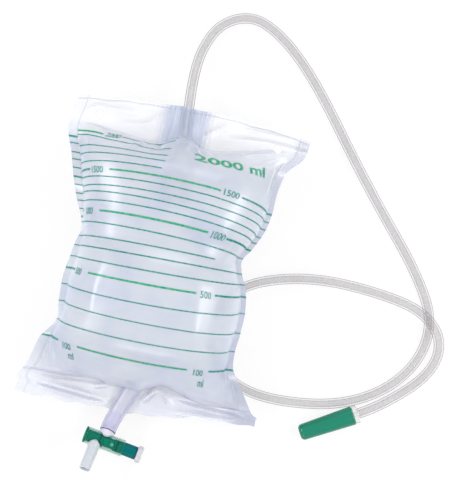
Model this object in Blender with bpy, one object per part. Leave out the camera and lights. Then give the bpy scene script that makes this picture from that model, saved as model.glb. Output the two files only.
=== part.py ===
"""Urine drainage bag of two litres, lying on its back with its tube laid out on the table.

Two clear films are welded along their edges and stand inflated. The inlet tube is welded into
the top flange and ends in a soft non-return valve, and its far end carries a capped connector.
A soft outlet tube is welded into the bottom flange and joins it to a push-pull tap.

Frame: +Z up, +Y from the tap to the top flange, origin under the middle of bag and tap.
"""

import math

import bmesh
import bpy
import numpy as np
from mathutils import Matrix, Vector

MM = 0.001

# Films, as they are cut flat
FLAT_WIDTH = 200.0 * MM
FIN_WIDTH = 8.0 * MM
FILM = 0.4 * MM
TOP_EDGE_Y = 156.0 * MM
TOP_WELD_Y = 125.0 * MM
BOTTOM_WELD_Y = -70.0 * MM
BOTTOM_EDGE_Y = -101.5 * MM
TOP_EDGE_ARCH = 8.0 * MM
BOTTOM_EDGE_LIFT = 8.5 * MM

# Bag as it stands inflated
CROWN_RISE = 42.0 * MM
UPPER_CROWN_RISE = 35.0 * MM
WAIST_Y = 40.0 * MM
WAIST_DIP = 9.0 * MM
WAIST_REACH = 15.0 * MM
WAIST_LIFT = 7.0 * MM
END_ROUNDING = 32.0 * MM
DIAGONAL_SLACK = 0.045 * MM
PATCH_SHARE = 0.16
PATCH_WIDTH_SHARE = 0.11
FIN_TURN_LEFT = math.radians(8.0)
FIN_TURN_RIGHT = math.radians(52.0)

# Places along Y count from the films' own middle, which lies this far from the origin
MIDDLE_Y = -0.906 * MM

# Clearances
GAP = 0.3 * MM
CHANNEL_CLEARANCE = 0.7 * MM
CHANNEL_FADE = 12.0 * MM

# Hanging holes of the top flange
HANG_HOLE_R = 3.5 * MM
HANG_HOLE_X = 75.0 * MM
HANG_HOLE_FROM_EDGE = 16.0 * MM

# Inlet tube and the valve at its inner end
TUBE_R = 4.25 * MM
TUBE_TOP_X = -4.2 * MM
TUBE_LEAN = -0.055
TUBE_INNER_END = 2.0 * MM
TUBE_POINT_STEP = 17.5 * MM
VALVE_LENGTH = 50.0 * MM
VALVE_LIP_WIDTH = 27.0 * MM
VALVE_WALL = 0.25 * MM
VALVE_SLIT = 0.4 * MM

# Outlet tube from the bottom flange to the tap's spigot
SPIGOT_R = 5.0 * MM
SPIGOT_BORE_R = 3.6 * MM
OUTLET_BORE_R = SPIGOT_R + GAP
OUTLET_R = OUTLET_BORE_R + 1.45 * MM
OUTLET_EDGE_X = -12.5 * MM
OUTLET_EDGE_Z = 14.0 * MM
OUTLET_ANGLE = math.radians(20.0)
OUTLET_FALL = math.radians(3.0)
OUTLET_INSIDE = 26.0 * MM
OUTLET_STRAIGHT = 8.0 * MM

# Push-pull tap. Its own frame: u along the cross tube from its left end, w towards the spout,
# which points up a little from the table
TAP_LEFT_X = -33.2 * MM
TAP_LEFT_Y = -125.2 * MM
TAP_LEFT_Z = 20.4 * MM
TAP_TURN = math.radians(-9.5)
TAP_PITCH = math.radians(24.0)
BODY_R = 7.0 * MM
BODY_LENGTH = 31.8 * MM
BODY_WALL = 1.25 * MM
PORT_HOLE_R = 2.0 * MM
INLET_U = 14.5 * MM
SPIGOT_TIP_W = 14.2 * MM
COLLAR_R = 6.3 * MM
COLLAR_LENGTH = 1.6 * MM
SPOUT_U = 8.5 * MM
SPOUT_R = 4.9 * MM
SPOUT_TIP_R = 4.6 * MM
SPOUT_BORE_R = 3.65 * MM
SPOUT_TIP_W = 28.4 * MM
SPOUT_BOSS_R = 5.7 * MM
SPOUT_BOSS_LENGTH = 1.0 * MM
DIMPLE_U = 22.2 * MM
DIMPLE_R = 1.7 * MM
DIMPLE_DEPTH = 0.4 * MM

# Plunger, its seals and its button
PLUNGER_LENGTH_OUT = 11.6 * MM
PLUNGER_DISC_R = 7.0 * MM
PLUNGER_DISC_T = 1.9 * MM
NECK_R = 4.4 * MM
SEAL_LEFT_U = 11.5 * MM
SEAL_RIGHT_U = BODY_LENGTH - 5.3 * MM
SEAL_THICKNESS = 1.2 * MM
SEAL_PROUD = 0.1 * MM
SEAL_CLEARANCE = 0.08 * MM
BUTTON_R = 7.1 * MM
BUTTON_T = 4.4 * MM
BUTTON_PIN_R = 3.0 * MM
BUTTON_PIN_LENGTH = 2.6 * MM

# Connector at the tube's far end and its pull-off cap
CAP_OPEN_X = 179.6 * MM
CAP_OPEN_Y = -67.0 * MM
CAP_TURN = math.radians(29.6)
CAP_OPEN_R = 8.0 * MM
CAP_CLOSED_R = 6.8 * MM
CAP_LENGTH = 47.0 * MM
CAP_WALL = 1.3 * MM
CAP_CORNER = 2.2 * MM
COLLAR_RING_R = 7.6 * MM
COLLAR_RING_T = 3.8 * MM
BOSS_LENGTH = 5.0 * MM
CONE_BASE_R = 3.9 * MM
CONE_TIP_R = 2.7 * MM
CONE_LENGTH = 34.0 * MM
CONE_STEPS = 3
CONE_STEP = 0.25 * MM
CONNECTOR_BORE_R = 1.9 * MM

# Facets
ROUND_SIDES = 24
SEAL_SIDES = 8
VALVE_SIDES = 16

# Outline of the inflated bag from above: station, reach to the left and to the right of x = 0
OUTLINE = [
    (-101.5, 100.75, 100.5), (-85.0, 99.0, 100.0), (-68.0, 94.0, 91.0), (-52.0, 85.5, 75.5),
    (-38.0, 76.5, 72.6), (-20.0, 77.4, 74.0), (0.0, 77.8, 74.3), (16.0, 75.5, 71.5),
    (30.0, 73.5, 65.5), (40.0, 71.0, 63.5), (50.0, 73.5, 69.5), (66.0, 80.5, 77.0),
    (82.0, 86.0, 80.4), (102.0, 92.0, 81.0), (116.0, 97.0, 81.5), (126.0, 99.0, 88.0),
    (140.0, 97.5, 96.5), (156.0, 95.5, 98.0),
]

# Height of the weld between the films above the table, from the bottom weld to the top edge
SEAM_HEIGHT = [
    (-70.0, 17.6), (-58.0, 27.5), (-44.0, 35.5), (-25.0, 38.0), (10.0, 38.0), (40.0, 35.5),
    (70.0, 37.0), (100.0, 38.0), (125.0, 36.5), (140.0, 32.3), (156.0, 26.5),
]

# How far the front film's crown carries a straight line of the flat film along Y
CROWN_SHIFT = [
    (-70.0, 0.0), (-62.0, -4.5), (-50.0, -6.9), (-37.0, -6.2), (-22.0, -6.4),
    (-7.0, -6.6), (8.0, -4.5), (18.0, -3.1), (30.0, 0.0), (43.0, 3.0), (52.0, 5.0),
    (66.0, 7.0), (81.5, 8.5), (97.0, 8.5), (112.0, 6.0), (120.0, 3.0), (125.0, 0.0),
]

# Rows of the films' grid across the chamber, and in each flange as shares of its width
CHAMBER_ROWS = [
    -68.6, -66.0, -62.0, -56.0, -48.0, -38.0, -26.0, -14.0, -2.0, 9.0, 19.0, 27.0, 33.0, 37.0, 40.0,
    43.0, 47.0, 53.0, 61.0, 70.0, 80.0, 91.0, 101.0, 110.0, 117.0, 121.5, 123.8,
]
FLANGE_SHARES = (0.0, 0.07, 0.22, 0.42, 0.62, 0.82, 1.0)

# Columns left and right of the welded-in tube and outlet, and those beside their middle
LEFT_COLUMNS = 7
RIGHT_COLUMNS = 8
CHANNEL_COLUMNS = (-1.6, -1.0, -0.92, -0.68, -0.36, 0.0, 0.36, 0.68, 0.92, 1.0, 1.6)

# Tube's route on the table, outside the flange: x, y and height of its middle
TUBE_ROUTE = [
    (-4.9, 166.0, 21.7), (-5.5, 178.0, 17.0), (-5.5, 190.0, 12.2), (-4.4, 203.0, 7.9),
    (-1.2, 214.5, 5.2), (6.5, 228.0, 4.5), (18.6, 237.3, 4.5), (33.0, 240.8, 4.5),
    (50.8, 235.3, 4.5), (71.8, 220.4, 4.5), (93.5, 200.0, 4.5), (135.1, 148.7, 4.5),
    (176.8, 97.3, 4.5), (217.8, 44.0, 4.5), (225.6, 27.5, 4.5), (227.4, 9.0, 4.5),
    (219.9, -14.8, 4.5), (201.3, -38.2, 4.5), (174.8, -55.0, 4.5), (153.5, -62.6, 4.5),
    (126.0, -66.4, 4.5), (100.8, -66.2, 4.5), (68.0, -54.6, 4.5), (56.4, -42.6, 4.5),
    (50.2, -26.4, 4.5), (51.4, -7.0, 4.5), (60.0, 9.8, 4.5), (73.5, 21.8, 4.5),
    (90.0, 29.4, 4.5), (131.2, 37.9, 4.5), (174.3, 37.0, 5.4), (195.9, 34.0, 8.8),
    (210.8, 30.2, 11.8), (224.7, 23.6, 13.7), (235.4, 13.6, 12.6), (240.8, 0.5, 9.2),
    (239.2, -13.4, 6.0), (229.5, -29.0, 4.7), (213.6, -44.2, 5.2), (197.6, -56.3, 7.3),
]

# Colours: red, green, blue, roughness, alpha
FILM_LOOK = (0.86, 0.87, 0.92, 0.25, 0.6)
TUBE_LOOK = (0.80, 0.79, 0.80, 0.15, 0.5)
SLEEVE_LOOK = (0.72, 0.70, 0.84, 0.25, 0.7)
CLEAR_LOOK = (0.84, 0.86, 0.86, 0.15, 0.5)
GREEN_LOOK = (0.0, 0.28, 0.15, 0.3, 1.0)
WHITE_LOOK = (0.88, 0.86, 0.88, 0.4, 1.0)
SEAL_LOOK = (0.75, 0.75, 0.75, 0.5, 1.0)


def clear_scene():
    """Remove the objects that a new file starts with."""
    for old in list(bpy.data.objects):
        bpy.data.objects.remove(old)


def material(name, look):
    """A Principled BSDF with one of the looks above."""
    red, green, blue, roughness, alpha = look
    mat = bpy.data.materials.new(name)
    mat.use_nodes = True
    shader = mat.node_tree.nodes["Principled BSDF"]
    shader.inputs["Base Color"].default_value = (red, green, blue, 1.0)
    shader.inputs["Roughness"].default_value = roughness
    shader.inputs["Metallic"].default_value = 0.0
    shader.inputs["Alpha"].default_value = alpha
    return mat


def make_object(name, verts, faces, look, frame=None, smooth=True):
    """A closed mesh object with its faces turned outwards, placed by a frame's matrix."""
    mesh = bpy.data.meshes.new(name)
    shape = bmesh.new()
    corners = [shape.verts.new(v) for v in verts]
    for face in faces:
        shape.faces.new([corners[i] for i in face])
    bmesh.ops.recalc_face_normals(shape, faces=shape.faces)
    shape.to_mesh(mesh)
    shape.free()
    if smooth:
        mesh.shade_smooth()
        mesh.set_sharp_from_angle(angle=math.radians(35.0))
    obj = bpy.data.objects.new(name, mesh)
    bpy.context.collection.objects.link(obj)
    if look is not None:
        mesh.materials.append(material(name, look))
    if frame is not None:
        obj.parent = frame
    return obj


def make_frame(name, place, x_axis, z_axis):
    """An empty whose X and Z axes lie along the given directions."""
    x_axis = Vector(x_axis).normalized()
    z_axis = Vector(z_axis)
    z_axis = (z_axis - x_axis * z_axis.dot(x_axis)).normalized()
    y_axis = z_axis.cross(x_axis)
    empty = bpy.data.objects.new(name, None)
    turn = Matrix((x_axis, y_axis, z_axis)).transposed().to_4x4()
    empty.matrix_world = Matrix.Translation(place) @ turn
    bpy.context.collection.objects.link(empty)
    return empty


def turned(name, profile, look, frame, sides=ROUND_SIDES, axis="X", at=(0.0, 0.0, 0.0), spin=0.0):
    """Turn a closed profile of (distance along the axis, radius) points about a frame's axis.

    Without spin, one corner of each ring points straight down and a round piece rests on it.
    """
    verts, faces, rings = [], [], []
    for along, radius in profile:
        count = 1 if radius == 0.0 else sides
        ring = list(range(len(verts), len(verts) + count))
        rings.append(ring)
        for step in range(count):
            angle = 2.0 * math.pi * (step + spin) / sides
            across, down = radius * math.sin(angle), -radius * math.cos(angle)
            if axis == "X":
                point = (at[0] + along, at[1] + across, at[2] + down)
            else:
                point = (at[0] + across, at[1] + along, at[2] + down)
            verts.append(point)
    for here, after in zip(rings, rings[1:] + rings[:1]):
        for step in range(sides):
            a, b = here[step % len(here)], here[(step + 1) % len(here)]
            c, d = after[(step + 1) % len(after)], after[step % len(after)]
            face = list(dict.fromkeys((a, b, c, d)))
            if len(face) >= 3:
                faces.append(face)
    return make_object(name, verts, faces, look, frame)


def combine(target, helper, operation):
    """Join a helper to a piece or cut it out, and show the helper as wire only."""
    helper.hide_render = True
    helper.display_type = "WIRE"
    step = target.modifiers.new(helper.name, "BOOLEAN")
    step.operation = operation
    step.object = helper


def table_curve(table, column, y):
    """Read a smooth curve through a table's stations, in metres.

    Between two stations it is a cubic whose slope at each is the mean slope around it.
    """
    stations = np.array([row[0] for row in table]) * MM
    values = np.array([row[column] for row in table]) * MM
    slopes = np.gradient(values, stations)
    left = np.clip(np.searchsorted(stations, y) - 1, 0, len(stations) - 2)
    width = stations[left + 1] - stations[left]
    s = np.clip((y - stations[left]) / width, 0.0, 1.0)
    return (
        (2 * s**3 - 3 * s**2 + 1) * values[left]
        + (s**3 - 2 * s**2 + s) * width * slopes[left]
        + (3 * s**2 - 2 * s**3) * values[left + 1]
        + (s**3 - s**2) * width * slopes[left + 1]
    )


def smoothstep(s):
    """0 below 0, 1 above 1, and a smooth rise between."""
    s = np.clip(s, 0.0, 1.0)
    return s * s * (3.0 - 2.0 * s)


def seam_height(y):
    """Height of the weld between the films: the outlet's own straight line in the bottom flange."""
    fall = math.tan(OUTLET_FALL) / math.cos(OUTLET_ANGLE)
    flange = OUTLET_EDGE_Z + (y - BOTTOM_EDGE_Y) * fall
    weld = OUTLET_EDGE_Z + (BOTTOM_WELD_Y - BOTTOM_EDGE_Y) * fall
    bag = table_curve(SEAM_HEIGHT, 1, y) + weld - SEAM_HEIGHT[0][1] * MM
    return np.where(y <= BOTTOM_WELD_Y, flange, bag)


def tube_x(y):
    """The tube's middle in the top flange."""
    return TUBE_TOP_X + (y - TOP_EDGE_Y) * TUBE_LEAN


def outlet_x(y):
    """The outlet tube's middle in the bottom flange."""
    return OUTLET_EDGE_X + (y - BOTTOM_EDGE_Y) * math.tan(OUTLET_ANGLE)


def channel_x(y):
    """Middle of the columns that wrap the tube above and the outlet below."""
    s = smoothstep((y - BOTTOM_WELD_Y) / (TOP_WELD_Y - BOTTOM_WELD_Y))
    return outlet_x(np.minimum(y, BOTTOM_WELD_Y)) * (1 - s) + tube_x(np.maximum(y, TOP_WELD_Y)) * s


def channel_radius(y):
    """Inside radius of the half round in each film, for the tube above and the outlet below."""
    s = smoothstep((y - BOTTOM_WELD_Y) / (TOP_WELD_Y - BOTTOM_WELD_Y))
    return OUTLET_R * (1 - s) + TUBE_R * s + CHANNEL_CLEARANCE


def inflation(y):
    """0 in the flat flanges, 1 where the bag is fully round."""
    inside = np.minimum(y - BOTTOM_WELD_Y, TOP_WELD_Y - y)
    return smoothstep(inside / END_ROUNDING)


def crown(y):
    """Rise of the front film above the weld along its crown.

    A long rounded pillow, lower towards the top flange and dented at the waist.
    """
    middle = 0.5 * (BOTTOM_WELD_Y + TOP_WELD_Y)
    half = 0.5 * (TOP_WELD_Y - BOTTOM_WELD_Y)
    pillow = np.sqrt(np.maximum(0.0, 1.0 - np.abs((y - middle) / half) ** 2.4))
    upper = smoothstep((y - WAIST_Y) / half)
    rise = CROWN_RISE * (1 - upper) + UPPER_CROWN_RISE * upper
    waist = WAIST_DIP * np.exp(-(((y - WAIST_Y) / WAIST_REACH) ** 2))
    return np.maximum(0.0, rise * pillow - waist * inflation(y))


def keel(y):
    """Drop of the back film below the weld: down to the table, less at the waist and the ends."""
    inside = np.minimum(y - BOTTOM_WELD_Y, TOP_WELD_Y - y)
    end = np.clip(1.0 - inside / END_ROUNDING, 0.0, 1.0)
    waist = np.clip(1.0 - ((y - WAIST_Y) / WAIST_REACH) ** 2, 0.0, 1.0) ** 2
    full = seam_height(y) - GAP / 2 - FILM - WAIST_LIFT * waist
    return full * np.sqrt(np.maximum(0.0, 1.0 - end**2))


def film_rows():
    """Stations of the grid's rows, from the bottom edge to the top edge."""
    low = [BOTTOM_WELD_Y + (BOTTOM_EDGE_Y - BOTTOM_WELD_Y) * share for share in FLANGE_SHARES]
    top = [TOP_WELD_Y + (TOP_EDGE_Y - TOP_WELD_Y) * share for share in FLANGE_SHARES]
    chamber = [row * MM for row in CHAMBER_ROWS if BOTTOM_WELD_Y < row * MM < TOP_WELD_Y]
    return low[::-1] + chamber + top


def film_columns(y):
    """Places across the flat film where a row has its grid points, from left to right."""
    corner = FLAT_WIDTH / 2 - FIN_WIDTH
    reach = (channel_radius(y) + FILM) / math.cos(OUTLET_ANGLE if y < 0 else 0.0)
    group = channel_x(y) + np.array(CHANNEL_COLUMNS) * reach
    left = np.linspace(-corner, group[0], LEFT_COLUMNS + 1)[:-1]
    right = np.linspace(group[-1], corner, RIGHT_COLUMNS + 1)[1:]
    edge = FLAT_WIDTH / 2
    return np.concatenate(([-edge], left, group, right, [edge]))


def film_point(p, y, front, wall):
    """Place of the flat film's point (p, y) on the inflated bag.

    Across the chamber the film follows a quarter of an ellipse from the crown to each weld,
    the back film with a flat strip on the table between its two quarters. In the flanges it
    lies flat, apart from a half round over the tube and the outlet. wall is the film's
    thickness for the outside surface in the flanges, and 0 for the inside surface.
    """
    side = np.sign(p)
    corner = FLAT_WIDTH / 2 - FIN_WIDTH
    across = np.minimum(np.abs(p) / corner, 1.0)
    fin = np.maximum(np.abs(p) - corner, 0.0) / FIN_WIDTH
    grown = inflation(y)
    full = np.where(side < 0, table_curve(OUTLINE, 1, y), table_curve(OUTLINE, 2, y))
    turn = np.where(side < 0, FIN_TURN_LEFT, FIN_TURN_RIGHT) * grown
    fin_reach = FIN_WIDTH * np.cos(turn)
    rise = crown(y) if front else keel(y)
    if front:
        angle = across * math.pi / 2
        reach, height = np.sin(angle), np.cos(angle)
    else:
        angle = np.clip((across - PATCH_SHARE) / (1 - PATCH_SHARE), 0.0, 1.0) * math.pi / 2
        strip = np.minimum(across / PATCH_SHARE, 1.0) * PATCH_WIDTH_SHARE
        reach = strip + (1 - PATCH_WIDTH_SHARE) * np.sin(angle)
        height = np.cos(angle)
    half = full - fin_reach
    flat_x = corner * across + (half - corner) * across**3
    x = side * (flat_x * (1 - grown) + half * reach * grown + fin * fin_reach)

    radius = channel_radius(y) + wall
    slant = math.cos(OUTLET_ANGLE) if y < 0 else 1.0
    beside = (p - channel_x(y)) * slant
    channel = np.sqrt(np.maximum(radius**2 - beside**2, 0.0))
    inside = min(y - BOTTOM_WELD_Y, TOP_WELD_Y - y)
    channel = channel * (1 - smoothstep(inside / CHANNEL_FADE))
    layer = (GAP / 2 + wall) * (height + (1 - height) / np.cos(turn))
    lift = np.maximum(layer + rise * height, channel)
    seam = seam_height(y) - fin * fin_reach * np.tan(turn)
    z = seam + lift if front else seam - lift

    shift = table_curve(CROWN_SHIFT, 1, y) * height if front else 0.0
    flange_top = smoothstep((y - TOP_WELD_Y) / (TOP_EDGE_Y - TOP_WELD_Y))
    flange_low = smoothstep((BOTTOM_WELD_Y - y) / (BOTTOM_WELD_Y - BOTTOM_EDGE_Y))
    arch = TOP_EDGE_ARCH * (x / (FLAT_WIDTH / 2)) ** 2
    wave = BOTTOM_EDGE_LIFT * smoothstep((x - OUTLET_EDGE_X) / (FLAT_WIDTH / 3) - 0.2)
    along = y + shift - arch * flange_top + wave * flange_low
    return np.stack([x, np.broadcast_to(along, x.shape), z], axis=1)


def grid_offset(points, distance):
    """Move a grid of points outwards by a distance, along the mean of the faces around each.

    At a fold the move grows with the fold, so that both faces keep their thickness.
    """
    one = points[1:, 1:] - points[:-1, :-1]
    other = points[1:, :-1] - points[:-1, 1:]
    flat = np.cross(one, other)
    flat /= np.linalg.norm(flat, axis=2, keepdims=True)
    total = np.zeros_like(points)
    spans = (slice(None, -1), slice(1, None))
    for rows in spans:
        for columns in spans:
            total[rows, columns] += flat
    mean = total / np.linalg.norm(total, axis=2, keepdims=True)
    closest = np.ones(points.shape[:2])
    for rows in spans:
        for columns in spans:
            leaning = np.sum(mean[rows, columns] * flat, axis=2)
            closest[rows, columns] = np.minimum(closest[rows, columns], leaning)
    return points + distance * mean / np.maximum(closest, 0.3)[..., None]


def film_surfaces(front):
    """Grid points of the inside and of the outside surface of one film, row by row."""
    rows = film_rows()
    inner = np.array([film_point(film_columns(y), y, front, 0.0) for y in rows])
    outer = np.array([film_point(film_columns(y), y, front, FILM) for y in rows])
    chamber = [i for i, y in enumerate(rows) if BOTTOM_WELD_Y < y < TOP_WELD_Y]
    distance = FILM if front else -FILM
    outer[chamber] = grid_offset(inner[chamber], distance)
    return inner, outer


def film(name, front):
    """One film of the bag as a thin closed shell, with the two hanging holes cut through."""
    inner, outer = film_surfaces(front)
    rows, columns = inner.shape[:2]
    verts = np.concatenate([inner.reshape(-1, 3), outer.reshape(-1, 3)])
    count = rows * columns

    def at(row, column, layer):
        return layer * count + row * columns + column

    faces = []
    for r in range(rows - 1):
        for c in range(columns - 1):
            one = np.linalg.norm(inner[r, c] - inner[r + 1, c + 1])
            other = np.linalg.norm(inner[r, c + 1] - inner[r + 1, c])
            for layer in (0, 1):
                a, b = at(r, c, layer), at(r, c + 1, layer)
                d, e = at(r + 1, c + 1, layer), at(r + 1, c, layer)
                if one < other + DIAGONAL_SLACK:
                    faces += [[a, b, d], [a, d, e]]
                else:
                    faces += [[a, b, e], [b, d, e]]
    rim = [(0, c) for c in range(columns)]
    rim += [(r, columns - 1) for r in range(1, rows)]
    rim += [(rows - 1, c) for c in range(columns - 2, -1, -1)]
    rim += [(r, 0) for r in range(rows - 2, 0, -1)]
    for (r0, c0), (r1, c1) in zip(rim, rim[1:] + rim[:1]):
        faces.append([at(r0, c0, 0), at(r1, c1, 0), at(r1, c1, 1), at(r0, c0, 1)])
    piece = make_object(name, verts.tolist(), faces, FILM_LOOK)
    for side in (-1, 1):
        combine(piece, hanging_hole(name, side), "DIFFERENCE")
    return piece


def hanging_hole(name, side):
    """Cutter for one hanging hole of one film."""
    y = TOP_EDGE_Y - TOP_EDGE_ARCH * (HANG_HOLE_X / (FLAT_WIDTH / 2)) ** 2 - HANG_HOLE_FROM_EDGE
    z = float(seam_height(np.array(y)))
    depth = CROWN_RISE / 4
    frame = make_frame(f"{name}_hole_frame", (side * HANG_HOLE_X, y, z), (0, 0, 1), (0, 1, 0))
    profile = [(-depth, 0.0), (-depth, HANG_HOLE_R), (depth, HANG_HOLE_R), (depth, 0.0)]
    return turned(f"{name}_hole", profile, None, frame, sides=16)


def ring_of(centre, side_axis, up_axis, half_width, half_height, sides):
    """Points of one oval section about a centre."""
    angles = 2.0 * math.pi * np.arange(sides) / sides
    wide = half_width * np.sin(angles)[:, None] * np.array(side_axis)
    high = -half_height * np.cos(angles)[:, None] * np.array(up_axis)
    return np.array(centre) + wide + high


def pipe(name, outside, inside, look):
    """A pipe through rows of outside and inside sections, open at both ends."""
    outside, inside = np.array(outside), np.array(inside)
    stations, sides = outside.shape[:2]
    verts = np.concatenate([outside.reshape(-1, 3), inside.reshape(-1, 3)])
    count = stations * sides

    def at(layer, station, step):
        return layer * count + station * sides + step % sides

    faces = []
    for step in range(sides):
        for layer in (0, 1):
            for i in range(stations - 1):
                quad = [at(layer, i, step), at(layer, i, step + 1)]
                quad += [at(layer, i + 1, step + 1), at(layer, i + 1, step)]
                faces.append(quad)
        for i in (0, stations - 1):
            faces.append([at(0, i, step), at(0, i, step + 1), at(1, i, step + 1), at(1, i, step)])
    return make_object(name, verts.tolist(), faces, look)


def non_return_valve():
    """Soft duckbill in the bag: round at the tube's end, flattened to a wide lip below it."""
    start = TOP_WELD_Y + TUBE_INNER_END - 2 * GAP
    shares = (0.0, 0.09, 0.25, 0.46, 0.72, 1.0)
    lip_height = VALVE_WALL + VALVE_SLIT / 2
    outside, inside = [], []
    for share in shares:
        y = start - share * VALVE_LENGTH
        flat = smoothstep(share / 0.6)
        half_width = TUBE_R + (VALVE_LIP_WIDTH / 2 - TUBE_R) * flat
        half_height = TUBE_R + (lip_height - TUBE_R) * flat
        before, after = seam_height(np.array([y, y + TUBE_R]))
        up = Vector((0.0, (before - after) / TUBE_R, 1.0)).normalized()
        section = ((tube_x(y), y, float(before)), (1, 0, 0), up)
        outside.append(ring_of(*section, half_width, half_height, VALVE_SIDES))
        inside.append(ring_of(*section, half_width - VALVE_WALL, half_height - VALVE_WALL, VALVE_SIDES))
    return pipe("non_return_valve", outside, inside, SLEEVE_LOOK)


def smooth_route(points, step):
    """Points about one step apart along a smooth curve through the route's own points.

    The curve is a natural cubic spline in each coordinate over the chord length.
    """
    points = np.array(points)
    chord = np.concatenate([[0.0], np.cumsum(np.linalg.norm(np.diff(points, axis=0), axis=1))])
    gaps = np.diff(chord)
    count = len(points)
    matrix = np.eye(count)
    right = np.zeros((count, 3))
    for i in range(1, count - 1):
        matrix[i, i - 1 : i + 2] = gaps[i - 1], 2 * (gaps[i - 1] + gaps[i]), gaps[i]
        slopes = (points[i + 1] - points[i]) / gaps[i] - (points[i] - points[i - 1]) / gaps[i - 1]
        right[i] = 6 * slopes
    bends = np.linalg.solve(matrix, right)
    places = np.linspace(0.0, chord[-1], int(round(chord[-1] / step)) + 1)
    left = np.clip(np.searchsorted(chord, places) - 1, 0, count - 2)
    gap = gaps[left][:, None]
    after = (places - chord[left])[:, None]
    before = gap - after
    return (
        (bends[left] * before**3 + bends[left + 1] * after**3) / (6 * gap)
        + (points[left] / gap - bends[left] * gap / 6) * before
        + (points[left + 1] / gap - bends[left + 1] * gap / 6) * after
    )


def inlet_tube(connector_back):
    """The inlet tube: from the valve through the top flange, over the table to the connector."""
    start = np.linspace(TOP_WELD_Y + TUBE_INNER_END, TOP_EDGE_Y, 5)
    inside = [(tube_x(y), y, float(seam_height(np.array(y)))) for y in start]
    route = [(x * MM, y * MM, z * MM) for x, y, z in TUBE_ROUTE]
    points = smooth_route(inside + route + [tuple(connector_back)], TUBE_POINT_STEP)
    curve = bpy.data.curves.new("inlet_tube", "CURVE")
    curve.dimensions = "3D"
    curve.bevel_depth = TUBE_R
    curve.bevel_resolution = 2
    curve.use_fill_caps = True
    spline = curve.splines.new("POLY")
    spline.points.add(len(points) - 1)
    for knot, point in zip(spline.points, points):
        knot.co = (*point, 1.0)
    curve.materials.append(material("inlet_tube", TUBE_LOOK))
    tube = bpy.data.objects.new("inlet_tube", curve)
    bpy.context.collection.objects.link(tube)
    return tube


def outlet_line():
    """The outlet tube's edge point and its direction, out of the bag and down to the table."""
    edge = Vector((OUTLET_EDGE_X, BOTTOM_EDGE_Y, OUTLET_EDGE_Z))
    level, turn = math.cos(OUTLET_FALL), OUTLET_ANGLE
    way = Vector((-math.sin(turn) * level, -math.cos(turn) * level, -math.sin(OUTLET_FALL)))
    return edge, way


def tap_axes():
    """The tap's own frame: the left end of its cross tube, u along it and w to the spout."""
    left = Vector((TAP_LEFT_X, TAP_LEFT_Y, TAP_LEFT_Z))
    u = Vector((math.cos(TAP_TURN), math.sin(TAP_TURN), 0.0))
    level = Vector((math.sin(TAP_TURN), -math.cos(TAP_TURN), 0.0))
    w = level * math.cos(TAP_PITCH) + Vector((0.0, 0.0, math.sin(TAP_PITCH)))
    return left, u, w


def outlet_tube():
    """Soft tube, straight in the flange and over the tap's spigot and bent between the two."""
    edge, way = outlet_line()
    left, u, w = tap_axes()
    start = edge - way * OUTLET_INSIDE
    end = left + u * INLET_U - w * (BODY_R + COLLAR_LENGTH + GAP)
    leave = edge + way * OUTLET_STRAIGHT
    arrive = end - w * (SPIGOT_TIP_W - BODY_R - COLLAR_LENGTH)
    pull = (arrive - leave).length / 3
    centres, ways = [start, edge], [way, way]
    for s in (0.0, 0.33, 0.67, 1.0):
        a, b, c, d = (1 - s) ** 3, 3 * s * (1 - s) ** 2, 3 * s * s * (1 - s), s**3
        centres.append(leave * (a + b) + arrive * (c + d) + (way * b - w * c) * pull)
        ways.append(way.lerp(w, s).normalized())
    centres.append(end)
    ways.append(w)
    outside, inside = [], []
    for centre, along in zip(centres, ways):
        side = along.cross(Vector((0, 0, 1))).normalized()
        up = side.cross(along)
        outside.append(ring_of(centre, side, up, OUTLET_R, OUTLET_R, ROUND_SIDES))
        inside.append(ring_of(centre, side, up, OUTLET_BORE_R, OUTLET_BORE_R, ROUND_SIDES))
    return pipe("outlet_tube", outside, inside, SLEEVE_LOOK)


def rod(name, frame, at, axis, start, stop, radius, tip=None, sides=ROUND_SIDES):
    """A solid round helper along a frame's axis, from start to stop, with its own tip radius."""
    profile = [(start, 0.0), (start, radius), (stop, radius if tip is None else tip), (stop, 0.0)]
    return turned(name, profile, None, frame, sides=sides, axis=axis, at=at, spin=0.5)


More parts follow.
